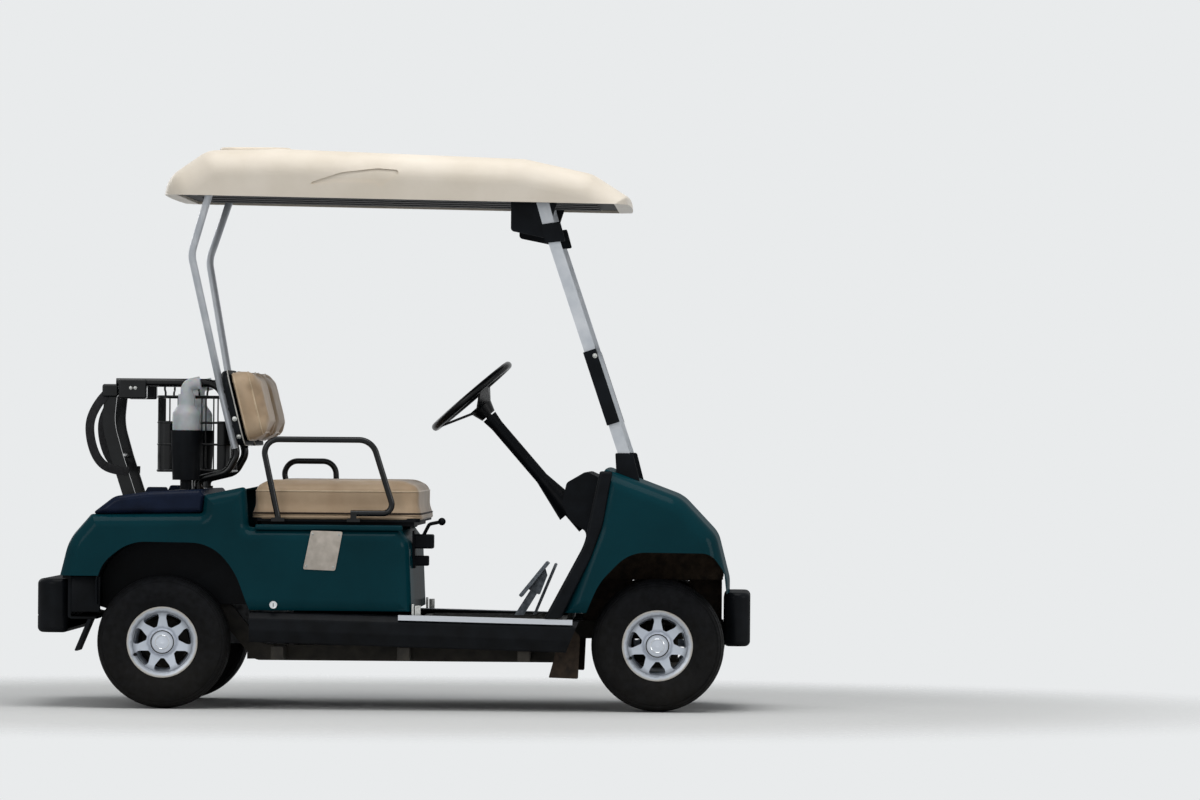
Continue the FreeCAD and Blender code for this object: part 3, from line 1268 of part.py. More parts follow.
steps = [
    ("frame_rails", frame_rails),
    ("engine", engine),
    ("rear_axle", rear_axle),
    ("rear_springs", rear_springs),
    ("front_suspension", front_suspension),
    ("coil_springs", coil_springs),
    ("rack_housing", rack_housing),
    ("tie_rods", tie_rods),
    ("floor", floor),
    ("rockers", lambda: Part.makeCompound([rocker(-1), rocker(1)])),
    ("sill_trims", lambda: Part.makeCompound([sill_trim(-1), sill_trim(1)])),
    ("rear_body", rear_body),
    ("deck_cap", deck_cap),
    ("bag_well", bag_well),
    ("selector", selector),
    ("front_cowl", front_cowl),
    ("edge_strips", edge_strips),
    ("dashboard", dashboard),
    ("front_bumper", front_bumper),
    ("rear_bumper", rear_bumper),
    ("rear_valance", rear_valance),
    ("front_flaps", front_flaps),
    ("rear_liners", rear_liners),
    ("front_liners", front_liners),
    ("seat_pan", seat_pan),
    ("seat_supports", lambda: Part.makeCompound(seat_supports())),
    ("seat_cushion", seat_cushion),
    ("hip_restraints", hip_restraints),
    ("backrest_shells", lambda: pair(backrest_shell())),
    ("backrest_pad_left", backrest_pad),
    ("backrest_pad_right", lambda: mirrored(backrest_pad())),
    ("rack_frame", rack_frame),
    ("rack_brackets", rack_brackets),
    ("rear_struts", lambda: pair(rear_struts())),
    ("basket", basket),
    ("bottle_holders", lambda: Part.makeCompound([bottle_holder(-1), bottle_holder(1)])),
    ("sand_bottles", lambda: Part.makeCompound([sand_bottle(-1), sand_bottle(1)])),
    ("front_struts", lambda: pair(front_struts())),
    ("strut_fittings", lambda: pair(strut_feet())),
    ("windshield_lower", lambda: glass_panel(glass_low_z, glass_split_z - glass_joint / 2, glass_thickness, glass_half_width)),
    ("windshield_upper", lambda: glass_panel(glass_split_z + glass_joint / 2, glass_high_z, glass_thickness, glass_half_width)),
    ("glass_hinge", glass_hinge),
    ("roof", roof),
    ("roof_liner", roof_liner),
    ("steering_wheel", steering_wheel),
    ("steering_column", steering_column),
    ("pedals", lambda: Part.makeCompound(pedals())),
    ("knuckle_left", lambda: knuckle(1)),
    ("knuckle_right", lambda: knuckle(-1)),
]

for end, x, track in (("front", front_axle_x, track_front), ("rear", rear_axle_x, track_rear)):
    for name, side in (("left", 1), ("right", -1)):
        place = (x, side * track / 2, side)
        steps.append(("wheel_" + end + "_" + name, lambda p=place: wheel(*p)))
        steps.append(("tyre_" + end + "_" + name, lambda p=place: tyre(*p)))

os.makedirs("parts", exist_ok=True)
for name, make in steps:
    save(name, make())
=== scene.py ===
"""A two seat golf cart: finishes, padded seats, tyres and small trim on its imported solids."""

import math

import bpy
from mathutils import Matrix, Vector


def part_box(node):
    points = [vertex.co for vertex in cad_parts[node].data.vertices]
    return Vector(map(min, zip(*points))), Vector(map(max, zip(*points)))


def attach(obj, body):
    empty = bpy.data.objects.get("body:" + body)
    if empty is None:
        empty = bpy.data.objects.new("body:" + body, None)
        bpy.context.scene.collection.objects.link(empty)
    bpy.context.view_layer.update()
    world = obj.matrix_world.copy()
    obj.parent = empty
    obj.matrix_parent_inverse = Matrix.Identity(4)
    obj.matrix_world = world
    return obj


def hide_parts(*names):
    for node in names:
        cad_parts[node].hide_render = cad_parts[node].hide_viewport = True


bl_info = {
    "name": "Golf cart",
    "version": (1, 0, 0),
    "blender": (4, 5, 0),
    "location": "3D View > Sidebar > Golf cart",
    "description": "Dresses a two seat golf cart with finishes, padded seats, tyres and trim",
    "category": "Object",
}

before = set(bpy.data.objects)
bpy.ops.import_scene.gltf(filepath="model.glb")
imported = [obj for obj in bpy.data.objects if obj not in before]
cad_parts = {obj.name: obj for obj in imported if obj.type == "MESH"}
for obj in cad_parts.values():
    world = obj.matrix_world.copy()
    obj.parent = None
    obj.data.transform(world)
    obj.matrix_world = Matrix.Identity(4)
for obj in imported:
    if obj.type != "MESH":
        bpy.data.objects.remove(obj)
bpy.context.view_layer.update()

MM = 0.001
SIDES = (-1, 1)
WHEELS = {
    "front_left": Vector((0.884, 0.44, 0.222)),
    "front_right": Vector((0.884, -0.44, 0.222)),
    "rear_left": Vector((-0.762, 0.49, 0.222)),
    "rear_right": Vector((-0.762, -0.49, 0.222)),
}
PAD_LEAN = math.radians(14.0)
PAD_UP = Vector((-math.sin(PAD_LEAN), 0.0, math.cos(PAD_LEAN)))
PAD_FRONT = Vector((math.cos(PAD_LEAN), 0.0, math.sin(PAD_LEAN)))

# Foam pressing a cover out: cloth pressure and the frames it works for.
COVER_PRESSURE = 4.0
COVER_FRAMES = 20

# Heights of the bench cover's seams, down from its top and up from its underside.
UPPER_SEAM_DROP = 0.034
LOWER_SEAM_RISE = 0.015

# The hem under the bench cover: where its outline is read, how far it is drawn in, its height and radius.
HEM_READ_RISE = 0.016
HEM_SHARE_X = 0.985
HEM_SHARE_Y = 0.988
HEM_RISE = 0.002
HEM_RADIUS = 8.0 * MM

# Depths of the back pads' seams, back from the front and forward from the rear, and the shell's pale edge.
PAD_FRONT_SEAM = 0.026
PAD_REAR_SEAM = 0.012
SHELL_EDGE_BEHIND = 0.0035
SHELL_EDGE_RADIUS = 2.2 * MM

# Half outlines of round pieces: distance out along the axis and radius, in metres.
CAP_RING = [(-0.001, 0.0395), (0.0012, 0.0395), (0.0022, 0.0378), (0.0012, 0.0362), (-0.001, 0.0362)]
CAP_INNER_RING = [(-0.001, 0.0238), (0.001, 0.0236), (0.0016, 0.0226), (0.001, 0.0216), (-0.001, 0.0214)]
VALVE = [
    (-0.004, 0.0), (-0.004, 0.006), (0.004, 0.0058), (0.007, 0.004), (0.021, 0.0038), (0.0215, 0.0046),
    (0.030, 0.0046), (0.031, 0.004), (0.031, 0.0)]
KEY_RING = [
    (-0.012, 0.0), (-0.012, 0.0135), (0.0014, 0.0135), (0.0028, 0.0122), (0.0028, 0.0102), (0.0012, 0.0096),
    (0.0012, 0.0)]
VALVE_ANGLE = math.radians(205)
VALVE_REACH = 0.099

# The blank plate on the right side: x and z of its corners and rivets.
PLATE_CORNERS = ((-0.268, 0.597), (-0.163, 0.594), (-0.187, 0.464), (-0.294, 0.468))
PLATE_FACE = -0.5995
PLATE_THICKNESS = 0.003
RIVET_RADIUS = 0.0028
PLATE_RIVETS = ((-0.262, 0.585), (-0.175, 0.583), (-0.194, 0.476), (-0.283, 0.479))

# Places on one side: x, distance from the middle, z. Boxes are given by their low and high corners.
KEY_PLACE = (-0.392, 0.5985, 0.349)
KEY_SLOT = ((-0.3932, 0.5990, 0.343), (-0.3908, 0.6005, 0.355))
VALANCE_PANEL = ((-1.072, 0.508, 0.318), (-0.974, 0.5195, 0.438))
# Dark rubber plates inboard of each front wheel, round its arch: painted shade that keeps the arches dark.
ARCH_SHADE_PLATES = (
    ((0.628, 0.146, 0.288), (0.790, 0.156, 0.500)),
    ((0.985, 0.146, 0.288), (1.095, 0.156, 0.500)),
    ((0.780, 0.146, 0.434), (0.995, 0.156, 0.500)))
SEAT_LIP = ((-0.455, 0.575, 0.598), (0.035, 0.597, 0.616))
SILL_FEET = (
    ((0.067, 0.570, 0.312), (0.075, 0.584, 0.355)),
    ((0.078, 0.570, 0.312), (0.097, 0.584, 0.350)))

# The bag straps: x and z from the rack's bar down to its upright, and how far out they hang.
STRAP_PATH = (
    (-0.984, 1.046), (-1.006, 1.020), (-1.026, 0.985), (-1.037, 0.950), (-1.036, 0.912), (-1.028, 0.872),
    (-1.014, 0.836), (-0.992, 0.808), (-0.966, 0.795), (-0.935, 0.789), (-0.902, 0.788))
STRAP_OUT = 0.240
STRAP_BOW = 0.010

# Side bolts: the solids they sit on, x, z and their size as a share of the bolt radius.
BOLT_SPOTS = (
    (("backrest_shells",), -0.531, 0.966, 0.8), (("backrest_shells",), -0.517, 0.907, 0.8),
    (("rack_frame",), -0.899, 1.068, 0.55), (("rack_frame",), -0.884, 1.068, 0.55),
    (("strut_fittings",), 0.668, 1.186, 0.8))

# The photo's camera, fitted to the wheels, the roof and the plate.
CAMERA_PLACE = Vector((1.19, -26.42, 0.904))
CAMERA_YAW = math.radians(1.114)
CAMERA_PITCH = math.radians(0.297)
CAMERA_ROLL = math.radians(0.456)
CAMERA_LENS = 233.5

# Lamps: name, place, target, size across in metres and power in watts.
LAMPS = (
    ("sky_panel", (0.4, -1.2, 5.6), (0.0, 0.0, 0.9), 5.5, 215.0),
    ("side_panel", (-3.4, -6.4, 3.2), (0.0, 0.0, 0.8), 3.6, 80.0),
    ("front_panel", (6.5, -3.5, 2.8), (0.0, 0.0, 0.8), 3.0, 75.0),
    ("rear_panel", (-5.0, 5.5, 3.4), (0.0, 0.0, 0.8), 3.6, 90.0))


def linear(hex_colour, alpha=1.0):
    """An sRGB hex colour as the linear values that a shader takes."""
    values = [int(hex_colour[i:i + 2], 16) / 255.0 for i in (1, 3, 5)]
    return tuple(v / 12.92 if v <= 0.04045 else ((v + 0.055) / 1.055) ** 2.4 for v in values) + (alpha,)


class CartSizes(bpy.types.PropertyGroup):
    piping: bpy.props.FloatProperty(
        name="Piping radius", description="Radius of the welt sewn along the seat seams",
        default=3.2 * MM, unit="LENGTH")
    swell: bpy.props.FloatProperty(
        name="Seat swell", description="Most that the foam pushes the seat cover out",
        default=11.0 * MM, unit="LENGTH")
    pad_swell: bpy.props.FloatProperty(
        name="Pad swell", description="Most that the foam pushes a back pad's cover out",
        default=13.0 * MM, unit="LENGTH")
    groove: bpy.props.FloatProperty(
        name="Tread depth", description="Depth of the grooves round each tyre",
        default=6.0 * MM, unit="LENGTH")
    webbing: bpy.props.FloatProperty(
        name="Strap width", description="Width of the bag straps",
        default=30.0 * MM, unit="LENGTH")
    bolt: bpy.props.FloatProperty(
        name="Bolt radius", description="Radius of a dome bolt's head",
        default=7.5 * MM, unit="LENGTH")


class CartColours(bpy.types.PropertyGroup):
    green: bpy.props.FloatVectorProperty(
        name="Body", description="Moulded body panels",
        subtype="COLOR", size=4, min=0, max=1, default=linear("#07333a"))
    cream: bpy.props.FloatVectorProperty(
        name="Roof", description="Moulded roof",
        subtype="COLOR", size=4, min=0, max=1, default=linear("#ddd3c4"))
    vinyl: bpy.props.FloatVectorProperty(
        name="Seats", description="Seat cover",
        subtype="COLOR", size=4, min=0, max=1, default=linear("#b59c80"))
    silver: bpy.props.FloatVectorProperty(
        name="Wheels", description="Wheel paint",
        subtype="COLOR", size=4, min=0, max=1, default=linear("#c9cfd8"))
    navy: bpy.props.FloatVectorProperty(
        name="Cap", description="Dark blue mouldings",
        subtype="COLOR", size=4, min=0, max=1, default=linear("#131a2a"))
    black: bpy.props.FloatVectorProperty(
        name="Trim", description="Black mouldings",
        subtype="COLOR", size=4, min=0, max=1, default=linear("#101216"))


# Finishes


def add(tree, kind, settings, links):
    """A node of a kind, with its settings or input values, and the outputs that feed its inputs."""
    node = tree.nodes.new(kind)
    for key, value in settings.items():
        if hasattr(node, str(key)):
            setattr(node, key, value)
        else:
            node.inputs[key].default_value = value
    for socket, (source, output) in links.items():
        tree.links.new(source.outputs[output], node.inputs[socket])
    return node


def finish(name, colour, roughness, sockets=None):
    """A material with one shader, its colour and gloss set on the shader's own sockets."""
    material = bpy.data.materials.new(name)
    material.use_nodes = True
    shader = material.node_tree.nodes["Principled BSDF"]
    shader.inputs["Base Color"].default_value = colour
    shader.inputs["Roughness"].default_value = roughness
    # Used and slightly dusty skins mirror less of the pale surroundings than clean ones.
    shader.inputs["Specular IOR Level"].default_value = 0.2
    for key, value in (sockets or {}).items():
        shader.inputs[key].default_value = value
    material.diffuse_color = colour
    return material


def parts_of(material):
    tree = material.node_tree
    return tree, tree.nodes["Principled BSDF"]


def mottled(material, darker, lighter, patch_mm, detail=4.0):
    """Uneven colour in soft patches of a real size, as dust, age and handling leave."""
    tree, shader = parts_of(material)
    place = add(tree, "ShaderNodeTexCoord", {}, {})
    cloud = add(tree, "ShaderNodeTexNoise", {"Scale": 1.0 / (patch_mm * MM), "Detail": detail},
            {"Vector": (place, "Object")})
    ramp = add(tree, "ShaderNodeValToRGB", {}, {"Fac": (cloud, "Fac")})
    ramp.color_ramp.elements[0].position = 0.32
    ramp.color_ramp.elements[0].color = darker
    ramp.color_ramp.elements[1].position = 0.68
    ramp.color_ramp.elements[1].color = lighter
    tree.links.new(ramp.outputs["Color"], shader.inputs["Base Color"])


def uneven_gloss(material, low, high, patch_mm):
    """Roughness that wanders between two values."""
    tree, shader = parts_of(material)
    place = add(tree, "ShaderNodeTexCoord", {}, {})
    cloud = add(tree, "ShaderNodeTexNoise", {"Scale": 1.0 / (patch_mm * MM), "Detail": 5.0},
            {"Vector": (place, "Object")})
    spread = add(tree, "ShaderNodeMapRange",
            {"From Min": 0.3, "From Max": 0.7, "To Min": low, "To Max": high}, {"Value": (cloud, "Fac")})
    tree.links.new(spread.outputs["Result"], shader.inputs["Roughness"])


def relief(material, kind, cell_mm, depth_mm, settings=None, output="Fac"):
    """Small surface relief of a real cell size and depth, laid over any that is there already."""
    tree, shader = parts_of(material)
    place = add(tree, "ShaderNodeTexCoord", {}, {})
    chosen = {"Scale": 1.0 / (cell_mm * MM)}
    chosen.update(settings or {})
    pattern = add(tree, kind, chosen, {"Vector": (place, "Object")})
    bump = add(tree, "ShaderNodeBump", {"Distance": depth_mm * MM}, {"Height": (pattern, output)})
    if shader.inputs["Normal"].is_linked:
        before = shader.inputs["Normal"].links[0].from_node
        tree.links.new(before.outputs["Normal"], bump.inputs["Normal"])
    tree.links.new(bump.outputs["Normal"], shader.inputs["Normal"])


def dusty_low(material, dust, top, amount):
    """Road dust that thins out with height above the ground."""
    tree, shader = parts_of(material)
    place = add(tree, "ShaderNodeTexCoord", {}, {})
    apart = add(tree, "ShaderNodeSeparateXYZ", {}, {"Vector": (place, "Object")})
    cloud = add(tree, "ShaderNodeTexNoise", {"Scale": 14.0, "Detail": 8.0, "Roughness": 0.7},
            {"Vector": (place, "Object")})
    low = add(tree, "ShaderNodeMapRange", {"From Min": 0.0, "From Max": top, "To Min": amount, "To Max": 0.0},
            {"Value": (apart, "Z")})
    share = add(tree, "ShaderNodeMath", {"operation": "MULTIPLY"}, {0: (low, "Result"), 1: (cloud, "Fac")})
    mix = add(tree, "ShaderNodeMix", {"data_type": "RGBA"}, {0: (share, "Value")})
    mix.inputs[7].default_value = dust
    source = shader.inputs["Base Color"]
    if source.is_linked:
        tree.links.new(source.links[0].from_socket, mix.inputs[6])
    else:
        mix.inputs[6].default_value = source.default_value
    tree.links.new(mix.outputs[2], shader.inputs["Base Color"])


def body_green(colours):
    """Glossy ABS moulding coloured right through: deep green, mirroring through a thin clear skin."""
    made = finish("moulded_green_abs", colours.green, 0.34,
            {"Coat Weight": 0.1, "Coat Roughness": 0.12, "Specular IOR Level": 0.0})
    mottled(made, linear("#062f36"), linear("#08373f"), 260.0)
    uneven_gloss(made, 0.28, 0.4, 90.0)
    relief(made, "ShaderNodeTexNoise", 14.0, 0.05, {"Detail": 1.0})
    return made


def roof_cream(colours):
    """Rotomoulded polyethylene: pale, satin, with a fine pebble and a little weathering."""
    made = finish("rotomoulded_cream_polyethylene", colours.cream, 0.42,
            {"IOR": 1.51, "Coat Weight": 0.1, "Coat Roughness": 0.3})
    mottled(made, linear("#d6cbba"), linear("#e3d9ca"), 180.0, 6.0)
    relief(made, "ShaderNodeTexVoronoi", 2.4, 0.05, output="Distance")
    return made


def black_plastic(colours):
    """Moulded black polypropylene: leather like grain that breaks up the light."""
    made = finish("grained_black_polypropylene", colours.black, 0.42,
            {"Specular IOR Level": 0.0, "Coat Weight": 0.14, "Coat Roughness": 0.34})
    mottled(made, linear("#0d0f12"), linear("#15181c"), 60.0)
    uneven_gloss(made, 0.36, 0.52, 50.0)
    relief(made, "ShaderNodeTexVoronoi", 1.6, 0.14, output="Distance")
    dusty_low(made, linear("#4a463e"), 0.4, 0.16)
    return made


def navy_plastic(colours):
    """Smooth dark blue moulding with a satin sheen."""
    made = finish("satin_navy_moulding", colours.navy, 0.33,
            {"Specular IOR Level": 0.0, "Coat Weight": 0.14, "Coat Roughness": 0.24})
    mottled(made, linear("#0d1321"), linear("#161f33"), 90.0)
    relief(made, "ShaderNodeTexVoronoi", 1.8, 0.06, output="Distance")
    return made


def seat_vinyl(colours):
    """Coated marine vinyl over foam: leather embossing, soft sheen, a little darker where it is rubbed."""
    made = finish("embossed_beige_vinyl", colours.vinyl, 0.46,
            {"IOR": 1.5, "Sheen Weight": 0.12, "Sheen Roughness": 0.4})
    mottled(made, linear("#ab9276"), linear("#bfa78b"), 120.0, 5.0)
    uneven_gloss(made, 0.4, 0.56, 45.0)
    relief(made, "ShaderNodeTexVoronoi", 2.6, 0.16, {"feature": "SMOOTH_F1"}, output="Distance")
    relief(made, "ShaderNodeTexNoise", 38.0, 0.9, {"Detail": 3.0})
    return made


def welt_vinyl_painted_highlight(colours):
    """The same vinyl drawn tight over a cord, so it is smoother, and painted lighter than the cover as a
    painted highlight.
    """
    made = finish("beige_piping_painted_highlight", linear("#c7b196"), 0.38, {"IOR": 1.5})
    mottled(made, linear("#bca689"), linear("#d0bb9f"), 30.0)
    relief(made, "ShaderNodeTexVoronoi", 1.6, 0.08, output="Distance")
    return made


def tyre_rubber():
    """Vulcanised tyre rubber: nearly black, matt, greyed by dust."""
    made = finish("vulcanised_tyre_rubber", linear("#101113"), 0.66, {"Specular IOR Level": 0.06})
    mottled(made, linear("#0c0d0f"), linear("#16171a"), 22.0, 8.0)
    uneven_gloss(made, 0.55, 0.8, 18.0)
    relief(made, "ShaderNodeTexNoise", 3.0, 0.25, {"Detail": 6.0})
    dusty_low(made, linear("#5a5448"), 0.46, 0.16)
    return made


def rim_silver(colours, centre, name):
    """Silver wheel paint: fine flake under clear lacquer, painted shade in dark rings round the cap and
    inside the flange, road dust on the outer flange.
    """
    made = finish("silver_wheel_paint_" + name, colours.silver, 0.36,
            {"Metallic": 0.25, "Coat Weight": 0.3, "Coat Roughness": 0.15})
    tree, shader = parts_of(made)
    place = add(tree, "ShaderNodeTexCoord", {}, {})
    moved = add(tree, "ShaderNodeMapping", {}, {"Vector": (place, "Object")})
    moved.inputs["Location"].default_value = (-centre.x, 0.0, -centre.z)
    moved.inputs["Scale"].default_value = (1.0, 0.0, 1.0)
    reach = add(tree, "ShaderNodeVectorMath", {"operation": "LENGTH"}, {0: (moved, "Vector")})
    cloud = add(tree, "ShaderNodeTexNoise", {"Scale": 60.0, "Detail": 6.0}, {"Vector": (place, "Object")})
    wander = add(tree, "ShaderNodeMath", {"operation": "MULTIPLY_ADD", 1: 0.012, 2: -0.006},
            {0: (cloud, "Fac")})
    radius = add(tree, "ShaderNodeMath", {"operation": "ADD"}, {0: (reach, "Value"), 1: (wander, "Value")})
    span = add(tree, "ShaderNodeMapRange", {"From Min": 0.0, "From Max": 0.12, "To Min": 0.0, "To Max": 1.0},
            {"Value": (radius, "Value")})
    ramp = add(tree, "ShaderNodeValToRGB", {}, {"Fac": (span, "Result")})
    stops = ramp.color_ramp.elements
    stops[0].position = 0.0
    stops[0].color = linear("#d6dce6")
    stops[1].position = 1.0
    stops[1].color = linear("#a89f90")
    # Painted shade: the dark stops at 0.39 and 0.84 shade the recess round the cap and the groove inside the
    # flange. The warm stops at 0.96 and 1.0 are road dust on the flange.
    for position, colour in ((0.35, "#d2d8e2"), (0.39, "#a4abb8"), (0.46, "#cdd4df"), (0.7, "#c9d0da"),
            (0.84, "#8d929a"), (0.9, "#c3c9d2"), (0.96, "#c0bdb8")):
        stop = stops.new(position)
        stop.color = linear(colour)
    tree.links.new(ramp.outputs["Color"], shader.inputs["Base Color"])
    relief(made, "ShaderNodeTexNoise", 1.2, 0.03, {"Detail": 3.0})
    return made


def silver_tube():
    """Powder coated steel tube in silver grey, slightly pebbled."""
    made = finish("silver_powder_coat", linear("#cdd1d6"), 0.36, {"Metallic": 0.25})
    mottled(made, linear("#c1c6cc"), linear("#d8dbdf"), 70.0)
    relief(made, "ShaderNodeTexNoise", 1.5, 0.06, {"Detail": 4.0})
    return made


def black_coat(name, roughness):
    """Black powder coat on steel: even, with a light orange peel."""
    made = finish(name, linear("#101113"), roughness,
            {"IOR": 1.5, "Coat Weight": 0.14, "Coat Roughness": roughness * 0.4})
    mottled(made, linear("#0b0c0d"), linear("#17191b"), 40.0)
    relief(made, "ShaderNodeTexNoise", 2.2, 0.05, {"Detail": 3.0})
    return made


def chassis_black():
    """Painted steel under the floor: dull, dusty, rubbed to brown in places."""
    made = finish("dusty_chassis_paint", linear("#17171a"), 0.6, {"IOR": 1.5})
    mottled(made, linear("#121214"), linear("#2a2825"), 35.0, 9.0)
    relief(made, "ShaderNodeTexNoise", 4.0, 0.2, {"Detail": 8.0})
    dusty_low(made, linear("#6a6254"), 0.42, 0.4)
    return made


def engine_grey():
    """Sand cast aluminium engine cases, matt, darker and lighter in small patches."""
    made = finish("cast_aluminium_cases", linear("#55575a"), 0.58, {"Metallic": 0.7})
    mottled(made, linear("#37383a"), linear("#6b6d70"), 28.0, 8.0)
    relief(made, "ShaderNodeTexNoise", 2.0, 0.3, {"Detail": 8.0})
    return made


def spring_steel():
    """Painted spring steel, satin black."""
    made = finish("painted_spring_steel", linear("#1b1c1f"), 0.4, {"Metallic": 0.2})
    mottled(made, linear("#131417"), linear("#2b2c2f"), 20.0, 6.0)
    relief(made, "ShaderNodeTexNoise", 2.5, 0.1, {"Detail": 4.0})
    return made


def pedal_steel():
    """Bare pressed steel of the pedals, scuffed by shoes."""
    made = finish("scuffed_pedal_steel", linear("#868e96"), 0.42, {"Metallic": 0.5})
    mottled(made, linear("#6a7178"), linear("#99a0a8"), 14.0, 7.0)
    relief(made, "ShaderNodeTexNoise", 2.0, 0.1, {"Detail": 5.0})
    return made


def wheel_grip():
    """Moulded steering wheel skin: smooth black urethane polished by hands."""
    made = finish("smooth_black_urethane", linear("#0b0c0d"), 0.28, {"IOR": 1.5})
    mottled(made, linear("#08090a"), linear("#111214"), 30.0)
    uneven_gloss(made, 0.22, 0.36, 25.0)
    return made


def painted_shade_seam_cord():
    """Sunken seam where the cover is stitched, as a brown black, dull cord: painted shade in the seam."""
    made = finish("dark_seam_painted_shade", linear("#2d221b"), 0.75)
    mottled(made, linear("#231a15"), linear("#3a2d24"), 8.0)
    return made


def zinc_steel():
    """Zinc plated rods and bolts: bright grey with a faint cloudy bloom."""
    made = finish("zinc_plated_steel", linear("#b5b6b4"), 0.34, {"Metallic": 1.0})
    mottled(made, linear("#9a9b98"), linear("#c6c7c4"), 9.0, 6.0)
    uneven_gloss(made, 0.26, 0.46, 6.0)
    return made


def chrome():
    """Chrome plate: mirror bright with fine hazing."""
    made = finish("polished_chrome_plate", linear("#d8dadc"), 0.08, {"Metallic": 1.0})
    uneven_gloss(made, 0.05, 0.16, 8.0)
    return made


def floor_mat():
    """Ribbed rubber floor mat, scuffed grey."""
    made = finish("ribbed_rubber_mat", linear("#1d1e20"), 0.66)
    mottled(made, linear("#161718"), linear("#35342f"), 60.0, 8.0)
    # Ribs are 16 mm apart and run across the cart.
    relief(made, "ShaderNodeTexWave", 16.0 * 3.18, 1.2, {"bands_direction": "X"})
    return made


def brown_rubber():
    """Sheet rubber mud flap: brown black, dull and dusty."""
    made = finish("brown_sheet_rubber", linear("#2c231d"), 0.72)
    mottled(made, linear("#211a15"), linear("#3c3127"), 25.0, 8.0)
    relief(made, "ShaderNodeTexNoise", 3.5, 0.2, {"Detail": 6.0})
    return made


def brown_liner():
    """Unpainted arch liner, brown with dried mud."""
    made = finish("muddy_arch_liner", linear("#352a22"), 0.8)
    mottled(made, linear("#241d18"), linear("#4b3e31"), 30.0, 9.0)
    relief(made, "ShaderNodeTexNoise", 5.0, 0.5, {"Detail": 8.0})
    return made


def dark_liner():
    """Moulded roof lining, dark grey and matt: painted shade under the cream roof."""
    made = finish("matt_roof_painted_shade", linear("#2a2a2c"), 0.7)
    mottled(made, linear("#222224"), linear("#333335"), 80.0)
    relief(made, "ShaderNodeTexVoronoi", 3.0, 0.2, output="Distance")
    return made


def sill_aluminium():
    """Extruded aluminium tread strip, brushed along its length."""
    made = finish("brushed_extruded_aluminium", linear("#d3d7dd"), 0.34,
            {"Metallic": 0.6, "Anisotropic": 0.5})
    tree, shader = parts_of(made)
    place = add(tree, "ShaderNodeTexCoord", {}, {})
    drawn = add(tree, "ShaderNodeMapping", {}, {"Vector": (place, "Object")})
    drawn.inputs["Scale"].default_value = (4.0, 1200.0, 1200.0)
    lines = add(tree, "ShaderNodeTexNoise", {"Scale": 1.0, "Detail": 3.0}, {"Vector": (drawn, "Vector")})
    spread = add(tree, "ShaderNodeMapRange", {"To Min": 0.22, "To Max": 0.45}, {"Value": (lines, "Fac")})
    tree.links.new(spread.outputs["Result"], shader.inputs["Roughness"])
    dusty_low(made, linear("#8c8880"), 0.5, 0.35)
    return made


def clear_sheet():
    """Clear acrylic windshield: see through, with a faint grey tint and light scuffs."""
    made = finish("clear_acrylic_sheet", linear("#e6eceb"), 0.05,
            {"Alpha": 0.13, "IOR": 1.49, "Specular IOR Level": 0.5})
    uneven_gloss(made, 0.03, 0.09, 120.0)
    return made


def clear_bottle():
    """Blow moulded low density polyethylene: milky and half clear."""
    made = finish("frosted_bottle_polyethylene", linear("#e3e7e8"), 0.4,
            {"Transmission Weight": 0.35, "IOR": 1.51, "Subsurface Weight": 0.4, "Subsurface Scale": 0.01})
    mottled(made, linear("#d5dadc"), linear("#eceff0"), 40.0)
    relief(made, "ShaderNodeTexNoise", 9.0, 0.2, {"Detail": 2.0})
    return made


def webbing():
    """Woven nylon strap: ribs across the width every two millimetres."""
    made = finish("woven_black_nylon", linear("#141416"), 0.6, {"Sheen Weight": 0.25, "Sheen Roughness": 0.4})
    mottled(made, linear("#0f0f11"), linear("#222225"), 12.0, 6.0)
    relief(made, "ShaderNodeTexWave", 2.0 * 3.18, 0.4, {"bands_direction": "Z"})
    return made


def plate_enamel():
    """Stove enamelled steel plate, warm light grey, left blank."""
    made = finish("blank_grey_enamel_plate", linear("#b9b0a5"), 0.36,
            {"Coat Weight": 0.3, "Coat Roughness": 0.15})
    mottled(made, linear("#aca398"), linear("#c4bbb0"), 30.0)
    relief(made, "ShaderNodeTexNoise", 3.0, 0.05, {"Detail": 3.0})
    return made


def light_rim():
    """Pale edge moulding round the seat shells."""
    made = finish("pale_edge_moulding", linear("#b8b5ae"), 0.4)
    mottled(made, linear("#a5a29b"), linear("#c6c3bc"), 25.0)
    relief(made, "ShaderNodeTexNoise", 3.0, 0.05, {"Detail": 3.0})
    return made


NODE_FINISHES = {
    "body_green": ("rear_body", "front_cowl"),
    "roof_cream": ("roof",),
    "black_plastic": (
        "rockers", "bag_well", "selector", "dashboard", "front_bumper", "rear_bumper", "rear_valance",
        "rear_liners",
        "seat_pan", "backrest_shells", "bottle_holders", "strut_fittings", "glass_hinge", "steering_column",
        "edge_strips"),
    "navy_plastic": ("deck_cap",),
    "pedal_steel": ("pedals",),
    "seat_vinyl": ("seat_cushion", "backrest_pad_left", "backrest_pad_right"),
    "silver_tube": ("rear_struts", "front_struts"),
    "gloss_black": ("hip_restraints", "rack_frame"),
    "wheel_grip": ("steering_wheel",),
    "satin_black": ("rack_brackets", "basket"),
    "chassis_black": ("frame_rails", "rear_axle", "rear_springs", "front_suspension", "rack_housing",
    "seat_supports", "knuckle_left", "knuckle_right"),
    "engine_grey": ("engine",),
    "spring_steel": ("coil_springs",),
    "zinc_steel": ("tie_rods",),
    "floor_mat": ("floor",),
    "brown_rubber": ("front_flaps",),
    "brown_liner": ("front_liners",),
    # The roof lining is painted shade: dark grey under the cream roof.
    "dark_liner": ("roof_liner",),
    "sill_aluminium": ("sill_trims",),
    "clear_sheet": ("windshield_lower", "windshield_upper"),
    "clear_bottle": ("sand_bottles",),
    "tyre_rubber": ("tyre_front_left", "tyre_front_right", "tyre_rear_left", "tyre_rear_right"),
}
made_finishes = {}


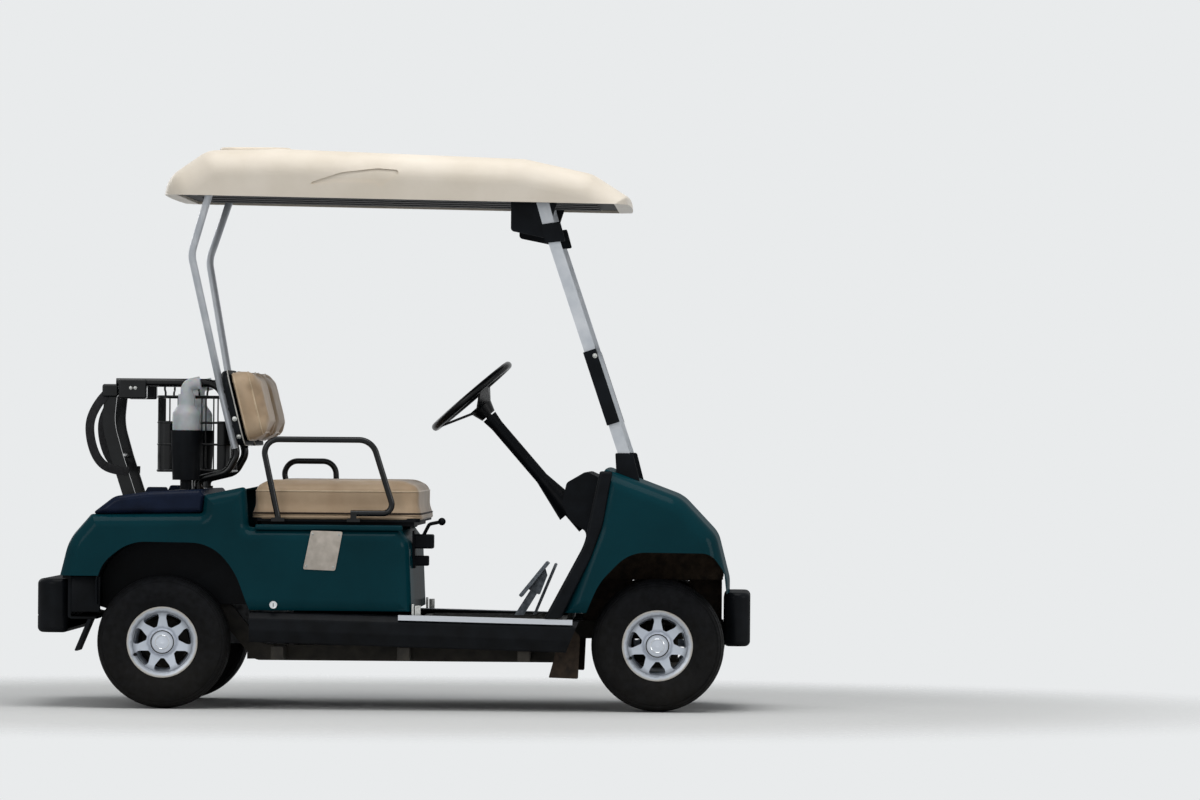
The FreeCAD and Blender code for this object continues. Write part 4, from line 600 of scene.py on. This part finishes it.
def every_finish(colours):
    made_finishes.update({
        "body_green": body_green(colours), "roof_cream": roof_cream(colours),
        "black_plastic": black_plastic(colours),
        "navy_plastic": navy_plastic(colours), "seat_vinyl": seat_vinyl(colours),
        "welt_vinyl_painted_highlight": welt_vinyl_painted_highlight(colours),
        "silver_tube": silver_tube(), "gloss_black": black_coat("gloss_black_powder_coat", 0.16),
        "satin_black": black_coat("satin_black_powder_coat", 0.34), "chassis_black": chassis_black(),
        "engine_grey": engine_grey(), "spring_steel": spring_steel(), "zinc_steel": zinc_steel(),
        "chrome": chrome(),
        "floor_mat": floor_mat(), "brown_rubber": brown_rubber(), "brown_liner": brown_liner(),
        "dark_liner": dark_liner(),
        "sill_aluminium": sill_aluminium(), "clear_sheet": clear_sheet(), "clear_bottle": clear_bottle(),
        "tyre_rubber": tyre_rubber(), "webbing": webbing(), "plate_enamel": plate_enamel(),
        "light_rim": light_rim(),
        "pedal_steel": pedal_steel(), "wheel_grip": wheel_grip(), "painted_shade_seam_cord": painted_shade_seam_cord(),
    })
    for place, centre in WHEELS.items():
        made_finishes["rim_" + place] = rim_silver(colours, centre, place)


# Modelling by hand


def clear_choice():
    if bpy.context.mode != "OBJECT":
        bpy.ops.object.mode_set(mode="OBJECT")
    bpy.ops.object.select_all(action="DESELECT")


def choose(piece):
    clear_choice()
    piece.select_set(True)
    bpy.context.view_layer.objects.active = piece


def started(name):
    """The shape just added, under its own name, with its place in its mesh."""
    piece = bpy.context.active_object
    piece.name = name
    piece.data.name = name
    bpy.ops.object.transform_apply(location=True, rotation=True, scale=True)
    return piece


def applied(piece, kind, settings):
    """One modifier, applied at once."""
    choose(piece)
    modifier = piece.modifiers.new(kind.lower(), kind)
    for key, value in settings.items():
        setattr(modifier, key, value)
    bpy.ops.object.modifier_apply(modifier=modifier.name)


def softened(piece, width, segments=2):
    """Edges sharper than 30 degrees are rounded, and the faces shade smoothly between them."""
    if width:
        applied(piece, "BEVEL",
                {"width": width, "segments": segments, "limit_method": "ANGLE",
                "angle_limit": math.radians(30)})
    choose(piece)
    bpy.ops.object.shade_smooth_by_angle(angle=math.radians(40))


def fitted(piece, body, finish_name):
    """The piece in its finish, riding on its body."""
    piece.data.materials.clear()
    piece.data.materials.append(made_finishes[finish_name])
    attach(piece, body)
    return piece


def drawn_line(name, points):
    """A line drawn by pulling one point out again and again; it stays in edit mode, all selected."""
    clear_choice()
    bpy.ops.mesh.primitive_plane_add(size=0.001, location=points[0])
    piece = started(name)
    bpy.ops.object.mode_set(mode="EDIT")
    bpy.ops.mesh.select_mode(type="VERT")
    bpy.ops.mesh.select_all(action="SELECT")
    bpy.ops.mesh.merge(type="CENTER")
    for start, end in zip(points, points[1:]):
        step = Vector(end) - Vector(start)
        bpy.ops.mesh.extrude_vertices_move(TRANSFORM_OT_translate={"value": step})
    bpy.ops.mesh.select_all(action="SELECT")
    return piece


def turned(name, profile, centre, axis, steps):
    """A round piece: its half outline, given as distance along and radius, spun about the axis."""
    axis = Vector(axis).normalized()
    side = axis.orthogonal().normalized()
    centre = Vector(centre)
    piece = drawn_line(name, [centre + axis * along + side * radius for along, radius in profile])
    bpy.ops.mesh.spin(steps=steps, angle=math.tau, center=centre, axis=axis)
    bpy.ops.mesh.select_all(action="SELECT")
    bpy.ops.mesh.remove_doubles(threshold=0.00001)
    bpy.ops.mesh.normals_make_consistent(inside=False)
    bpy.ops.object.mode_set(mode="OBJECT")
    softened(piece, 0.0)
    return piece


def cut_plate(name, outline, push, corner, edge):
    """A flat plate: an outline with rounded corners, filled and pulled to its thickness."""
    piece = drawn_line(name, outline)
    bpy.ops.mesh.edge_face_add()
    if corner:
        bpy.ops.mesh.bevel(offset=corner, segments=4, affect="VERTICES")
        bpy.ops.mesh.select_all(action="SELECT")
    bpy.ops.mesh.extrude_region_move(TRANSFORM_OT_translate={"value": Vector(push)})
    bpy.ops.mesh.select_all(action="SELECT")
    bpy.ops.mesh.normals_make_consistent(inside=False)
    bpy.ops.object.mode_set(mode="OBJECT")
    softened(piece, edge)
    return piece


def rounded_box(name, low, high, edge, segments=3):
    """A box at its place with every edge rounded."""
    low, high = Vector(low), Vector(high)
    clear_choice()
    bpy.ops.mesh.primitive_cube_add(size=1.0, location=(low + high) / 2, scale=high - low)
    piece = started(name)
    softened(piece, edge, segments)
    return piece


def side_box(name, side, low, high, edge):
    """A rounded box on one side of the cart, its distances from the middle given as positive."""
    near, far = sorted((side * low[1], side * high[1]))
    return rounded_box(name, (low[0], near, low[2]), (high[0], far, high[2]), edge)


def cord_ring(name, points, radius):
    """Round cord along a closed ring of points."""
    line = bpy.data.curves.new(name, "CURVE")
    line.dimensions = "3D"
    spline = line.splines.new("NURBS")
    spline.points.add(len(points) - 1)
    for point, place in zip(spline.points, points):
        point.co = (*place, 1.0)
    spline.order_u = 3
    spline.use_cyclic_u = True
    spline.resolution_u = 4
    line.bevel_depth = radius
    line.bevel_resolution = 2
    piece = bpy.data.objects.new(name, line)
    bpy.context.scene.collection.objects.link(piece)
    choose(piece)
    bpy.ops.object.convert(target="MESH")
    piece = bpy.context.active_object
    bpy.ops.object.shade_smooth_by_angle(angle=math.radians(60))
    return piece


def copied(piece, name, place):
    """A copy with its own mesh, moved by a matrix."""
    twin = piece.copy()
    twin.data = piece.data.copy()
    twin.name = name
    bpy.context.scene.collection.objects.link(twin)
    twin.data.transform(place)
    twin.data.update()
    return twin


def joined(name, pieces):
    clear_choice()
    for piece in pieces:
        piece.select_set(True)
    bpy.context.view_layer.objects.active = pieces[0]
    bpy.ops.object.join()
    whole = bpy.context.active_object
    whole.name = name
    whole.data.name = name
    return whole


def hit(nodes, start, toward):
    """Where a straight line first meets the given solids or pieces, and the surface's direction there."""
    start, toward = Vector(start), Vector(toward).normalized()
    found = None
    for node in nodes:
        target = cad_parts[node] if isinstance(node, str) else node
        met, place, normal, _ = target.ray_cast(start, toward)
        if met and (found is None or (place - start).length < (found[0] - start).length):
            found = (place.copy(), normal.copy())
    if found is None:
        raise RuntimeError(f"nothing of {nodes} lies on the line from {tuple(start)}")
    return found


def wheel_body(place):
    """The body that a wheel's pieces ride on."""
    end, side = place.split("_")
    return f"{end}_wheel_{side}"


def girdle(target, centre, across, up, reach, count):
    """Points round a form where a plane cuts its surface, found from outside inward."""
    points = []
    for step in range(count):
        turn = math.tau * step / count
        outward = Vector(across) * math.cos(turn) * reach[0] + Vector(up) * math.sin(turn) * reach[1]
        start = Vector(centre) + outward * 1.6
        met, place, _, _ = target.ray_cast(start, -outward.normalized())
        if met:
            points.append(place.copy())
    return points


# Seats


def foam_copy(node, name, voxel, inset):
    """The solid's own shape with an even mesh, drawn in a little so that it can swell to size."""
    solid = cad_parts[node]
    piece = bpy.data.objects.new(name, solid.data.copy())
    bpy.context.scene.collection.objects.link(piece)
    piece.data.materials.clear()
    choose(piece)
    bpy.ops.object.mode_set(mode="EDIT")
    bpy.ops.mesh.select_all(action="SELECT")
    bpy.ops.mesh.remove_doubles(threshold=0.0001)
    bpy.ops.object.mode_set(mode="OBJECT")
    applied(piece, "REMESH", {"mode": "VOXEL", "voxel_size": voxel})
    applied(piece, "DISPLACE", {"strength": -inset, "mid_level": 0.0, "direction": "NORMAL"})
    return piece


def swollen(piece, most, held):
    """Foam pressing its cover out: cloth under pressure, with no point moving more than it may."""
    rest = [v.co.copy() for v in piece.data.vertices]
    group = piece.vertex_groups.new(name="held")
    group.add([i for i, co in enumerate(rest) if held(co) < 0.05], 1.0, "REPLACE")
    cloth = piece.modifiers.new("cover", "CLOTH")
    cloth.settings.quality = 4
    cloth.settings.use_pressure = True
    cloth.settings.uniform_pressure_force = COVER_PRESSURE
    cloth.settings.vertex_group_mass = "held"
    cloth.settings.effector_weights.gravity = 0.0
    cloth.settings.bending_stiffness = 2.0
    cloth.collision_settings.use_collision = False
    cloth.point_cache.frame_start = 1
    cloth.point_cache.frame_end = COVER_FRAMES
    for number in range(1, COVER_FRAMES + 1):
        bpy.context.scene.frame_set(number)
    choose(piece)
    bpy.ops.object.modifier_apply(modifier=cloth.name)
    bpy.context.scene.frame_set(1)
    for vertex, start in zip(piece.data.vertices, rest):
        allowed = most * held(start)
        move = vertex.co - start
        if move.length > allowed:
            vertex.co = start + move * (allowed / move.length)
    piece.data.update()
    applied(piece, "SMOOTH", {"factor": 0.5, "iterations": 4})
    applied(piece, "SUBSURF", {"levels": 1, "render_levels": 1})
    choose(piece)
    bpy.ops.object.shade_smooth()
    return piece


def ramp_up(value, low, high):
    share = max(0.0, min(1.0, (value - low) / (high - low)))
    return share * share * (3.0 - 2.0 * share)


class CART_OT_finishes(bpy.types.Operator):
    """Gives every solid of the cart the finish of the real part"""
    bl_idname = "cart.finishes"
    bl_label = "Finishes"

    def execute(self, context):
        every_finish(context.scene.cart_colours)
        for name, nodes in NODE_FINISHES.items():
            for node in nodes:
                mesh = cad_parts[node].data
                mesh.materials.clear()
                mesh.materials.append(made_finishes[name])
        for place in WHEELS:
            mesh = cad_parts["wheel_" + place].data
            mesh.materials.clear()
            mesh.materials.append(made_finishes["rim_" + place])
        return {"FINISHED"}


class CART_OT_seat(bpy.types.Operator):
    """Models the bench cushion as foam under a sewn vinyl cover, with its piping"""
    bl_idname = "cart.seat"
    bl_label = "Bench cushion"

    def execute(self, context):
        sizes = context.scene.cart_sizes
        low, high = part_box("seat_cushion")
        middle = (low + high) / 2
        reach = (high - low) / 2
        piece = foam_copy("seat_cushion", "bench_cushion", voxel=9.0 * MM, inset=7.0 * MM)
        swollen(piece, sizes.swell, lambda co: ramp_up(co.z, low.z + 0.008, low.z + 0.05))
        for vertex in piece.data.vertices:
            vertex.co.z = max(vertex.co.z, low.z)
        fitted(piece, "seat_lid", "seat_vinyl")
        edge = girdle(
            piece, (middle.x, 0.0, low.z + HEM_READ_RISE), (1, 0, 0), (0, 1, 0), (reach.x, reach.y), 220)
        drawn_in = []
        for point in edge:
            x = middle.x + (point.x - middle.x) * HEM_SHARE_X
            drawn_in.append(Vector((x, point.y * HEM_SHARE_Y, low.z + HEM_RISE)))
        hem = cord_ring("bench_hem", drawn_in, HEM_RADIUS)
        fitted(hem, "seat_lid", "seat_vinyl")
        hem.parent = piece
        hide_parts("seat_cushion")
        seams = (
            # The upper piping's lighter finish is a painted highlight.
            ("bench_upper_piping", high.z - UPPER_SEAM_DROP, "welt_vinyl_painted_highlight"),
            # The lower seam's dark cord is painted shade in the sunken seam.
            ("bench_lower_seam", low.z + LOWER_SEAM_RISE, "painted_shade_seam_cord"))
        for name, height, look in seams:
            ring = girdle(piece, (middle.x, 0.0, height), (1, 0, 0), (0, 1, 0), (reach.x, reach.y), 220)
            welt = cord_ring(name, ring, sizes.piping)
            fitted(welt, "seat_lid", look)
            welt.parent = piece
        return {"FINISHED"}


class CART_OT_backrests(bpy.types.Operator):
    """Models the two back pads, their piping and the pale edge of their shells"""
    bl_idname = "cart.backrests"
    bl_label = "Back pads"

    def execute(self, context):
        sizes = context.scene.cart_sizes
        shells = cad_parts["backrest_shells"]
        for side in ("left", "right"):
            node = "backrest_pad_" + side
            low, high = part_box(node)
            middle = (low + high) / 2
            spots = [v.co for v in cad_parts[node].data.vertices]
            depths = [(co - middle).dot(PAD_FRONT) for co in spots]
            back, front = min(depths), max(depths)
            heights = [(co - middle).dot(PAD_UP) for co in spots]
            up_reach = max(heights)
            piece = foam_copy(node, "back_pad_" + side, voxel=6.5 * MM, inset=7.0 * MM)

            def free(co, middle=middle, back=back):
                return ramp_up((co - middle).dot(PAD_FRONT), back + 0.008, back + 0.05)

            swollen(piece, sizes.pad_swell, free)
            fitted(piece, "chassis", "seat_vinyl")
            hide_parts(node)
            y_reach = (high.y - low.y) / 2
            for name, depth in (
                    ("front_piping", front - PAD_FRONT_SEAM), ("rear_piping", back + PAD_REAR_SEAM)):
                centre = middle + PAD_FRONT * depth
                ring = girdle(piece, centre, (0, 1, 0), PAD_UP, (y_reach, up_reach), 140)
                welt = cord_ring(f"back_pad_{side}_{name}", ring, sizes.piping)
                # The pipings are painted lighter than the pad's vinyl, a painted highlight along the seams.
                fitted(welt, "chassis", "welt_vinyl_painted_highlight")
                welt.parent = piece
            centre = middle + PAD_FRONT * (back - SHELL_EDGE_BEHIND)
            ring = girdle(shells, centre, (0, 1, 0), PAD_UP, (y_reach + 0.02, up_reach + 0.03), 140)
            edge = cord_ring("back_shell_edge_" + side, ring, SHELL_EDGE_RADIUS)
            fitted(edge, "chassis", "light_rim")
        return {"FINISHED"}


class CART_OT_tyres(bpy.types.Operator):
    """Turns the four tyres, with grooves round the tread and ribs on the shoulder"""
    bl_idname = "cart.tyres"
    bl_label = "Tyres"

    def execute(self, context):
        deep = context.scene.cart_sizes.groove / MM
        half = [
            (2.6, 221.9 - deep), (3.6, 221.9), (14.0, 221.7), (26.0, 221.2), (27.0, 221.0 - deep),
            (31.0, 220.8 - deep),
            (32.2, 220.6), (43.0, 219.6), (53.0, 218.4), (54.2, 218.0 - deep), (58.2, 217.2 - deep),
            (59.4, 216.8), (67.0, 214.8),
            (74.0, 212.0), (75.0, 211.0 - deep * 0.7), (78.5, 209.4 - deep * 0.7), (79.8, 209.2),
            (84.0, 206.6), (87.0, 203.6),
            (87.2, 199.6), (90.0, 197.2), (92.6, 197.8), (95.4, 192.6), (97.4, 186.4), (99.6, 178.0),
            (100.8, 168.0), (101.0, 158.0),
            (100.0, 147.0), (98.2, 138.0), (97.4, 136.2), (97.0, 133.6), (96.2, 131.6), (94.4, 126.4),
            (93.0, 122.0), (91.6, 118.9),
            (88.4, 118.4), (84.0, 117.4), (60.0, 117.0)]
        profile = [(y * MM, r * MM) for y, r in half]
        mirrored = [(-y, r) for y, r in reversed(profile)]
        outline = mirrored + profile
        outline.append(outline[0])
        first = turned("tyre_first", outline, (0, 0, 0), (0, 1, 0), steps=88)
        for place, centre in WHEELS.items():
            tyre = copied(first, "tread_" + place, Matrix.Translation(centre))
            body = wheel_body(place)
            fitted(tyre, body, "tyre_rubber")
            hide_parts("tyre_" + place)
        bpy.data.objects.remove(first)
        return {"FINISHED"}


class CART_OT_wheel_trim(bpy.types.Operator):
    """Adds the rings on each wheel's centre cap and its valve"""
    bl_idname = "cart.wheel_trim"
    bl_label = "Wheel trim"

    def execute(self, context):
        for place, centre in WHEELS.items():
            out = Vector((0, 1 if centre.y > 0 else -1, 0))
            body = wheel_body(place)
            wheel = "wheel_" + place
            face = hit([wheel], centre + out * 0.3 + Vector((0.004, 0, 0.004)), -out)[0]
            cap_depth = (face - centre).dot(out)
            cap_face = centre + out * cap_depth
            dish = turned("cap_ring_" + place, CAP_RING, cap_face, out, 48)
            fitted(dish, body, "satin_black")
            inner = turned("cap_inner_ring_" + place, CAP_INNER_RING, cap_face, out, 40)
            fitted(inner, body, "chrome")
            spot = centre + Vector((math.cos(VALVE_ANGLE), 0, math.sin(VALVE_ANGLE))) * VALVE_REACH
            foot = hit([wheel], spot + out * 0.3, -out)[0]
            valve = turned("valve_" + place, VALVE, foot, out, 16)
            fitted(valve, body, "black_plastic")
        return {"FINISHED"}


def dome_bolt(name, place, outward, radius):
    """A domed bolt head on its washer."""
    profile = [
        (-0.001, 0.0), (-0.001, radius * 1.35), (0.0012, radius * 1.35), (0.0014, radius * 1.05),
        (0.0022, radius),
        (radius * 0.45, radius * 0.86), (radius * 0.66, radius * 0.5), (radius * 0.66, radius * 0.34),
        (radius * 0.4, radius * 0.3),
        (radius * 0.4, 0.0)]
    return turned(name, profile, place, outward, 18)


class CART_OT_side_trim(bpy.types.Operator):
    """Adds the blank plate, key locks, closing panels, seat lips and sill feet, and dark rubber plates inside
    the front arches as painted shade
    """
    bl_idname = "cart.side_trim"
    bl_label = "Side trim"

    def execute(self, context):
        outline = [Vector((x, PLATE_FACE, z)) for x, z in PLATE_CORNERS]
        plate = cut_plate("side_plate", outline, (0, -PLATE_THICKNESS, 0), corner=0.006, edge=0.0008)
        fitted(plate, "chassis", "plate_enamel")
        rivets = []
        for index, (x, z) in enumerate(PLATE_RIVETS):
            place = (x, PLATE_FACE - PLATE_THICKNESS, z)
            rivets.append(dome_bolt(f"rivet_{index}", place, (0, -1, 0), RIVET_RADIUS))
        fitted(joined("side_plate_rivets", rivets), "chassis", "zinc_steel")
        for side in SIDES:
            word = "left" if side > 0 else "right"
            place = Vector((KEY_PLACE[0], side * KEY_PLACE[1], KEY_PLACE[2]))
            ring = turned("key_ring_" + word, KEY_RING, place, (0, side, 0), 32)
            fitted(ring, "chassis", "chrome")
            fitted(side_box("key_slot_" + word, side, *KEY_SLOT, 0.0004), "chassis", "black_plastic")
            fitted(side_box("valance_panel_" + word, side, *VALANCE_PANEL, 0.003), "chassis", "black_plastic")
            # Dark brown sheets inside the front arches are painted shade.
            plates = [side_box(f"splash_{i}", side, *box, 0.002) for i, box in enumerate(ARCH_SHADE_PLATES)]
            fitted(joined("splash_plate_" + word, plates), "chassis", "brown_rubber")
            fitted(side_box("seat_lip_" + word, side, *SEAT_LIP, 0.006), "chassis", "body_green")
            feet = [side_box(f"foot_{i}", side, *box, 0.0015) for i, box in enumerate(SILL_FEET)]
            fitted(joined("sill_foot_" + word, feet), "chassis", "zinc_steel")
        return {"FINISHED"}


class CART_OT_bag_straps(bpy.types.Operator):
    """Hangs the two bag straps on the rack"""
    bl_idname = "cart.bag_straps"
    bl_label = "Bag straps"

    def execute(self, context):
        width = context.scene.cart_sizes.webbing
        last = len(STRAP_PATH) - 1
        for side in SIDES:
            word = "left" if side > 0 else "right"
            bow = []
            for i, (x, z) in enumerate(STRAP_PATH):
                out = STRAP_OUT + STRAP_BOW * math.sin(math.pi * i / last)
                bow.append(Vector((x, side * out, z)))
            strap = drawn_line("bag_strap_" + word, bow)
            bpy.ops.mesh.extrude_region_move(TRANSFORM_OT_translate={"value": Vector((0, side * 0.003, 0))})
            bpy.ops.object.mode_set(mode="OBJECT")
            applied(strap, "SUBSURF", {"levels": 2, "render_levels": 2})
            applied(strap, "SOLIDIFY", {"thickness": width, "offset": 0.0})
            softened(strap, 0.0008)
            fitted(strap, "chassis", "webbing")
        return {"FINISHED"}


class CART_OT_fasteners(bpy.types.Operator):
    """Sets the bolts of the seat shells, the rack and the struts, alike on both sides"""
    bl_idname = "cart.fasteners"
    bl_label = "Fasteners"

    def execute(self, context):
        radius = context.scene.cart_sizes.bolt
        for side in SIDES:
            word = "left" if side > 0 else "right"
            bolts = []
            for index, (nodes, x, z, share) in enumerate(BOLT_SPOTS):
                place, normal = hit(nodes, (x, side * 0.9, z), (0, -side, 0))
                bolts.append(dome_bolt(f"bolt_{word}_{index}", place, normal, radius * share))
            fitted(joined("side_bolts_" + word, bolts), "chassis", "zinc_steel")
        return {"FINISHED"}


# Stage


class CART_OT_stage(bpy.types.Operator):
    """Sets the camera, the pale floor, the soft lights and the surroundings"""
    bl_idname = "cart.stage"
    bl_label = "Stage"

    def execute(self, context):
        scene = context.scene
        yaw, pitch, roll = CAMERA_YAW, CAMERA_PITCH, CAMERA_ROLL
        ahead = Vector((-math.sin(yaw) * math.cos(pitch), math.cos(yaw) * math.cos(pitch), math.sin(pitch)))
        level = Vector((math.cos(yaw), math.sin(yaw), 0.0))
        above = level.cross(ahead)
        right = level * math.cos(roll) + above * math.sin(roll)
        up = above * math.cos(roll) - level * math.sin(roll)
        view = bpy.data.cameras.new("photo_camera")
        view.lens = CAMERA_LENS
        view.sensor_width = 36.0
        view.clip_end = 200.0
        camera = bpy.data.objects.new("photo_camera", view)
        scene.collection.objects.link(camera)
        place = Matrix((right, up, -ahead)).transposed().to_4x4()
        place.translation = CAMERA_PLACE
        camera.matrix_world = place
        scene.camera = camera
        clear_choice()
        bpy.ops.mesh.primitive_circle_add(vertices=96, radius=3.6, fill_type="NGON", location=(0, 0, 0))
        floor = started("floor_disc")
        floor.data.materials.append(self.floor_finish())
        for lamp in LAMPS:
            self.lamp(*lamp)
        self.surroundings(scene)
        scene.view_settings.view_transform = "Standard"
        return {"FINISHED"}

    @staticmethod
    def floor_finish():
        """Pale painted studio floor whose edge fades into the background."""
        made = finish("pale_studio_floor", linear("#d6d6d4"), 0.85)
        tree, shader = parts_of(made)
        place = add(tree, "ShaderNodeTexCoord", {}, {})
        reach = add(tree, "ShaderNodeVectorMath", {"operation": "LENGTH"}, {0: (place, "Object")})
        fade = add(tree, "ShaderNodeMapRange",
                {"From Min": 1.9, "From Max": 3.5, "To Min": 1.0, "To Max": 0.0,
                "interpolation_type": "SMOOTHSTEP"}, {"Value": (reach, "Value")})
        tree.links.new(fade.outputs["Result"], shader.inputs["Alpha"])
        relief(made, "ShaderNodeTexNoise", 20.0, 0.3, {"Detail": 6.0})
        return made

    @staticmethod
    def lamp(name, place, target, size, power):
        light = bpy.data.lights.new(name, "AREA")
        light.shape = "DISK"
        light.size = size
        light.energy = power
        holder = bpy.data.objects.new(name, light)
        bpy.context.scene.collection.objects.link(holder)
        holder.location = place
        aim = Vector(target) - Vector(place)
        holder.rotation_euler = aim.to_track_quat("-Z", "Y").to_euler()

    @staticmethod
    def surroundings(scene):
        """Plain grey light from all round, seen as a pale background by the camera, in gloss and in glass."""
        world = bpy.data.worlds.new("pale_surroundings")
        scene.world = world
        world.use_nodes = True
        tree = world.node_tree
        soft = tree.nodes["Background"]
        soft.inputs["Color"].default_value = linear("#dfe4ea")
        soft.inputs["Strength"].default_value = 0.34
        pale = add(tree, "ShaderNodeBackground", {"Color": linear("#e9ebec"), "Strength": 1.0}, {})
        path = add(tree, "ShaderNodeLightPath", {}, {})
        clear = add(tree, "ShaderNodeMath", {"operation": "MAXIMUM"},
                {0: (path, "Is Camera Ray"), 1: (path, "Is Transmission Ray")})
        either = add(tree, "ShaderNodeMath", {"operation": "MAXIMUM"},
                {0: (clear, "Value"), 1: (path, "Is Glossy Ray")})
        mix = add(tree, "ShaderNodeMixShader", {},
                {0: (either, "Value"), 1: (soft, "Background"), 2: (pale, "Background")})
        tree.links.new(mix.outputs["Shader"], tree.nodes["World Output"].inputs["Surface"])


class CART_PT_panel(bpy.types.Panel):
    """Lists the steps that dress the cart"""
    bl_idname = "CART_PT_panel"
    bl_label = "Golf cart"
    bl_space_type = "VIEW_3D"
    bl_region_type = "UI"
    bl_category = "Golf cart"

    def draw(self, context):
        column = self.layout.column()
        for group in (context.scene.cart_sizes, context.scene.cart_colours):
            for name in group.__annotations__:
                column.prop(group, name)
        for step in STEPS:
            column.operator(step.bl_idname)


STEPS = (
    CART_OT_finishes, CART_OT_seat, CART_OT_backrests, CART_OT_tyres, CART_OT_wheel_trim, CART_OT_side_trim,
    CART_OT_bag_straps, CART_OT_fasteners, CART_OT_stage)
CLASSES = (CartSizes, CartColours) + STEPS + (CART_PT_panel,)


def register():
    for part in CLASSES:
        bpy.utils.register_class(part)
    bpy.types.Scene.cart_sizes = bpy.props.PointerProperty(type=CartSizes)
    bpy.types.Scene.cart_colours = bpy.props.PointerProperty(type=CartColours)


def unregister():
    del bpy.types.Scene.cart_colours
    del bpy.types.Scene.cart_sizes
    for part in reversed(CLASSES):
        bpy.utils.unregister_class(part)


def main():
    register()
    bpy.ops.cart.stage()
    bpy.ops.cart.finishes()
    bpy.ops.cart.seat()
    bpy.ops.cart.backrests()
    bpy.ops.cart.tyres()
    bpy.ops.cart.wheel_trim()
    bpy.ops.cart.side_trim()
    bpy.ops.cart.bag_straps()
    bpy.ops.cart.fasteners()


if __name__ == "__main__":
    main()
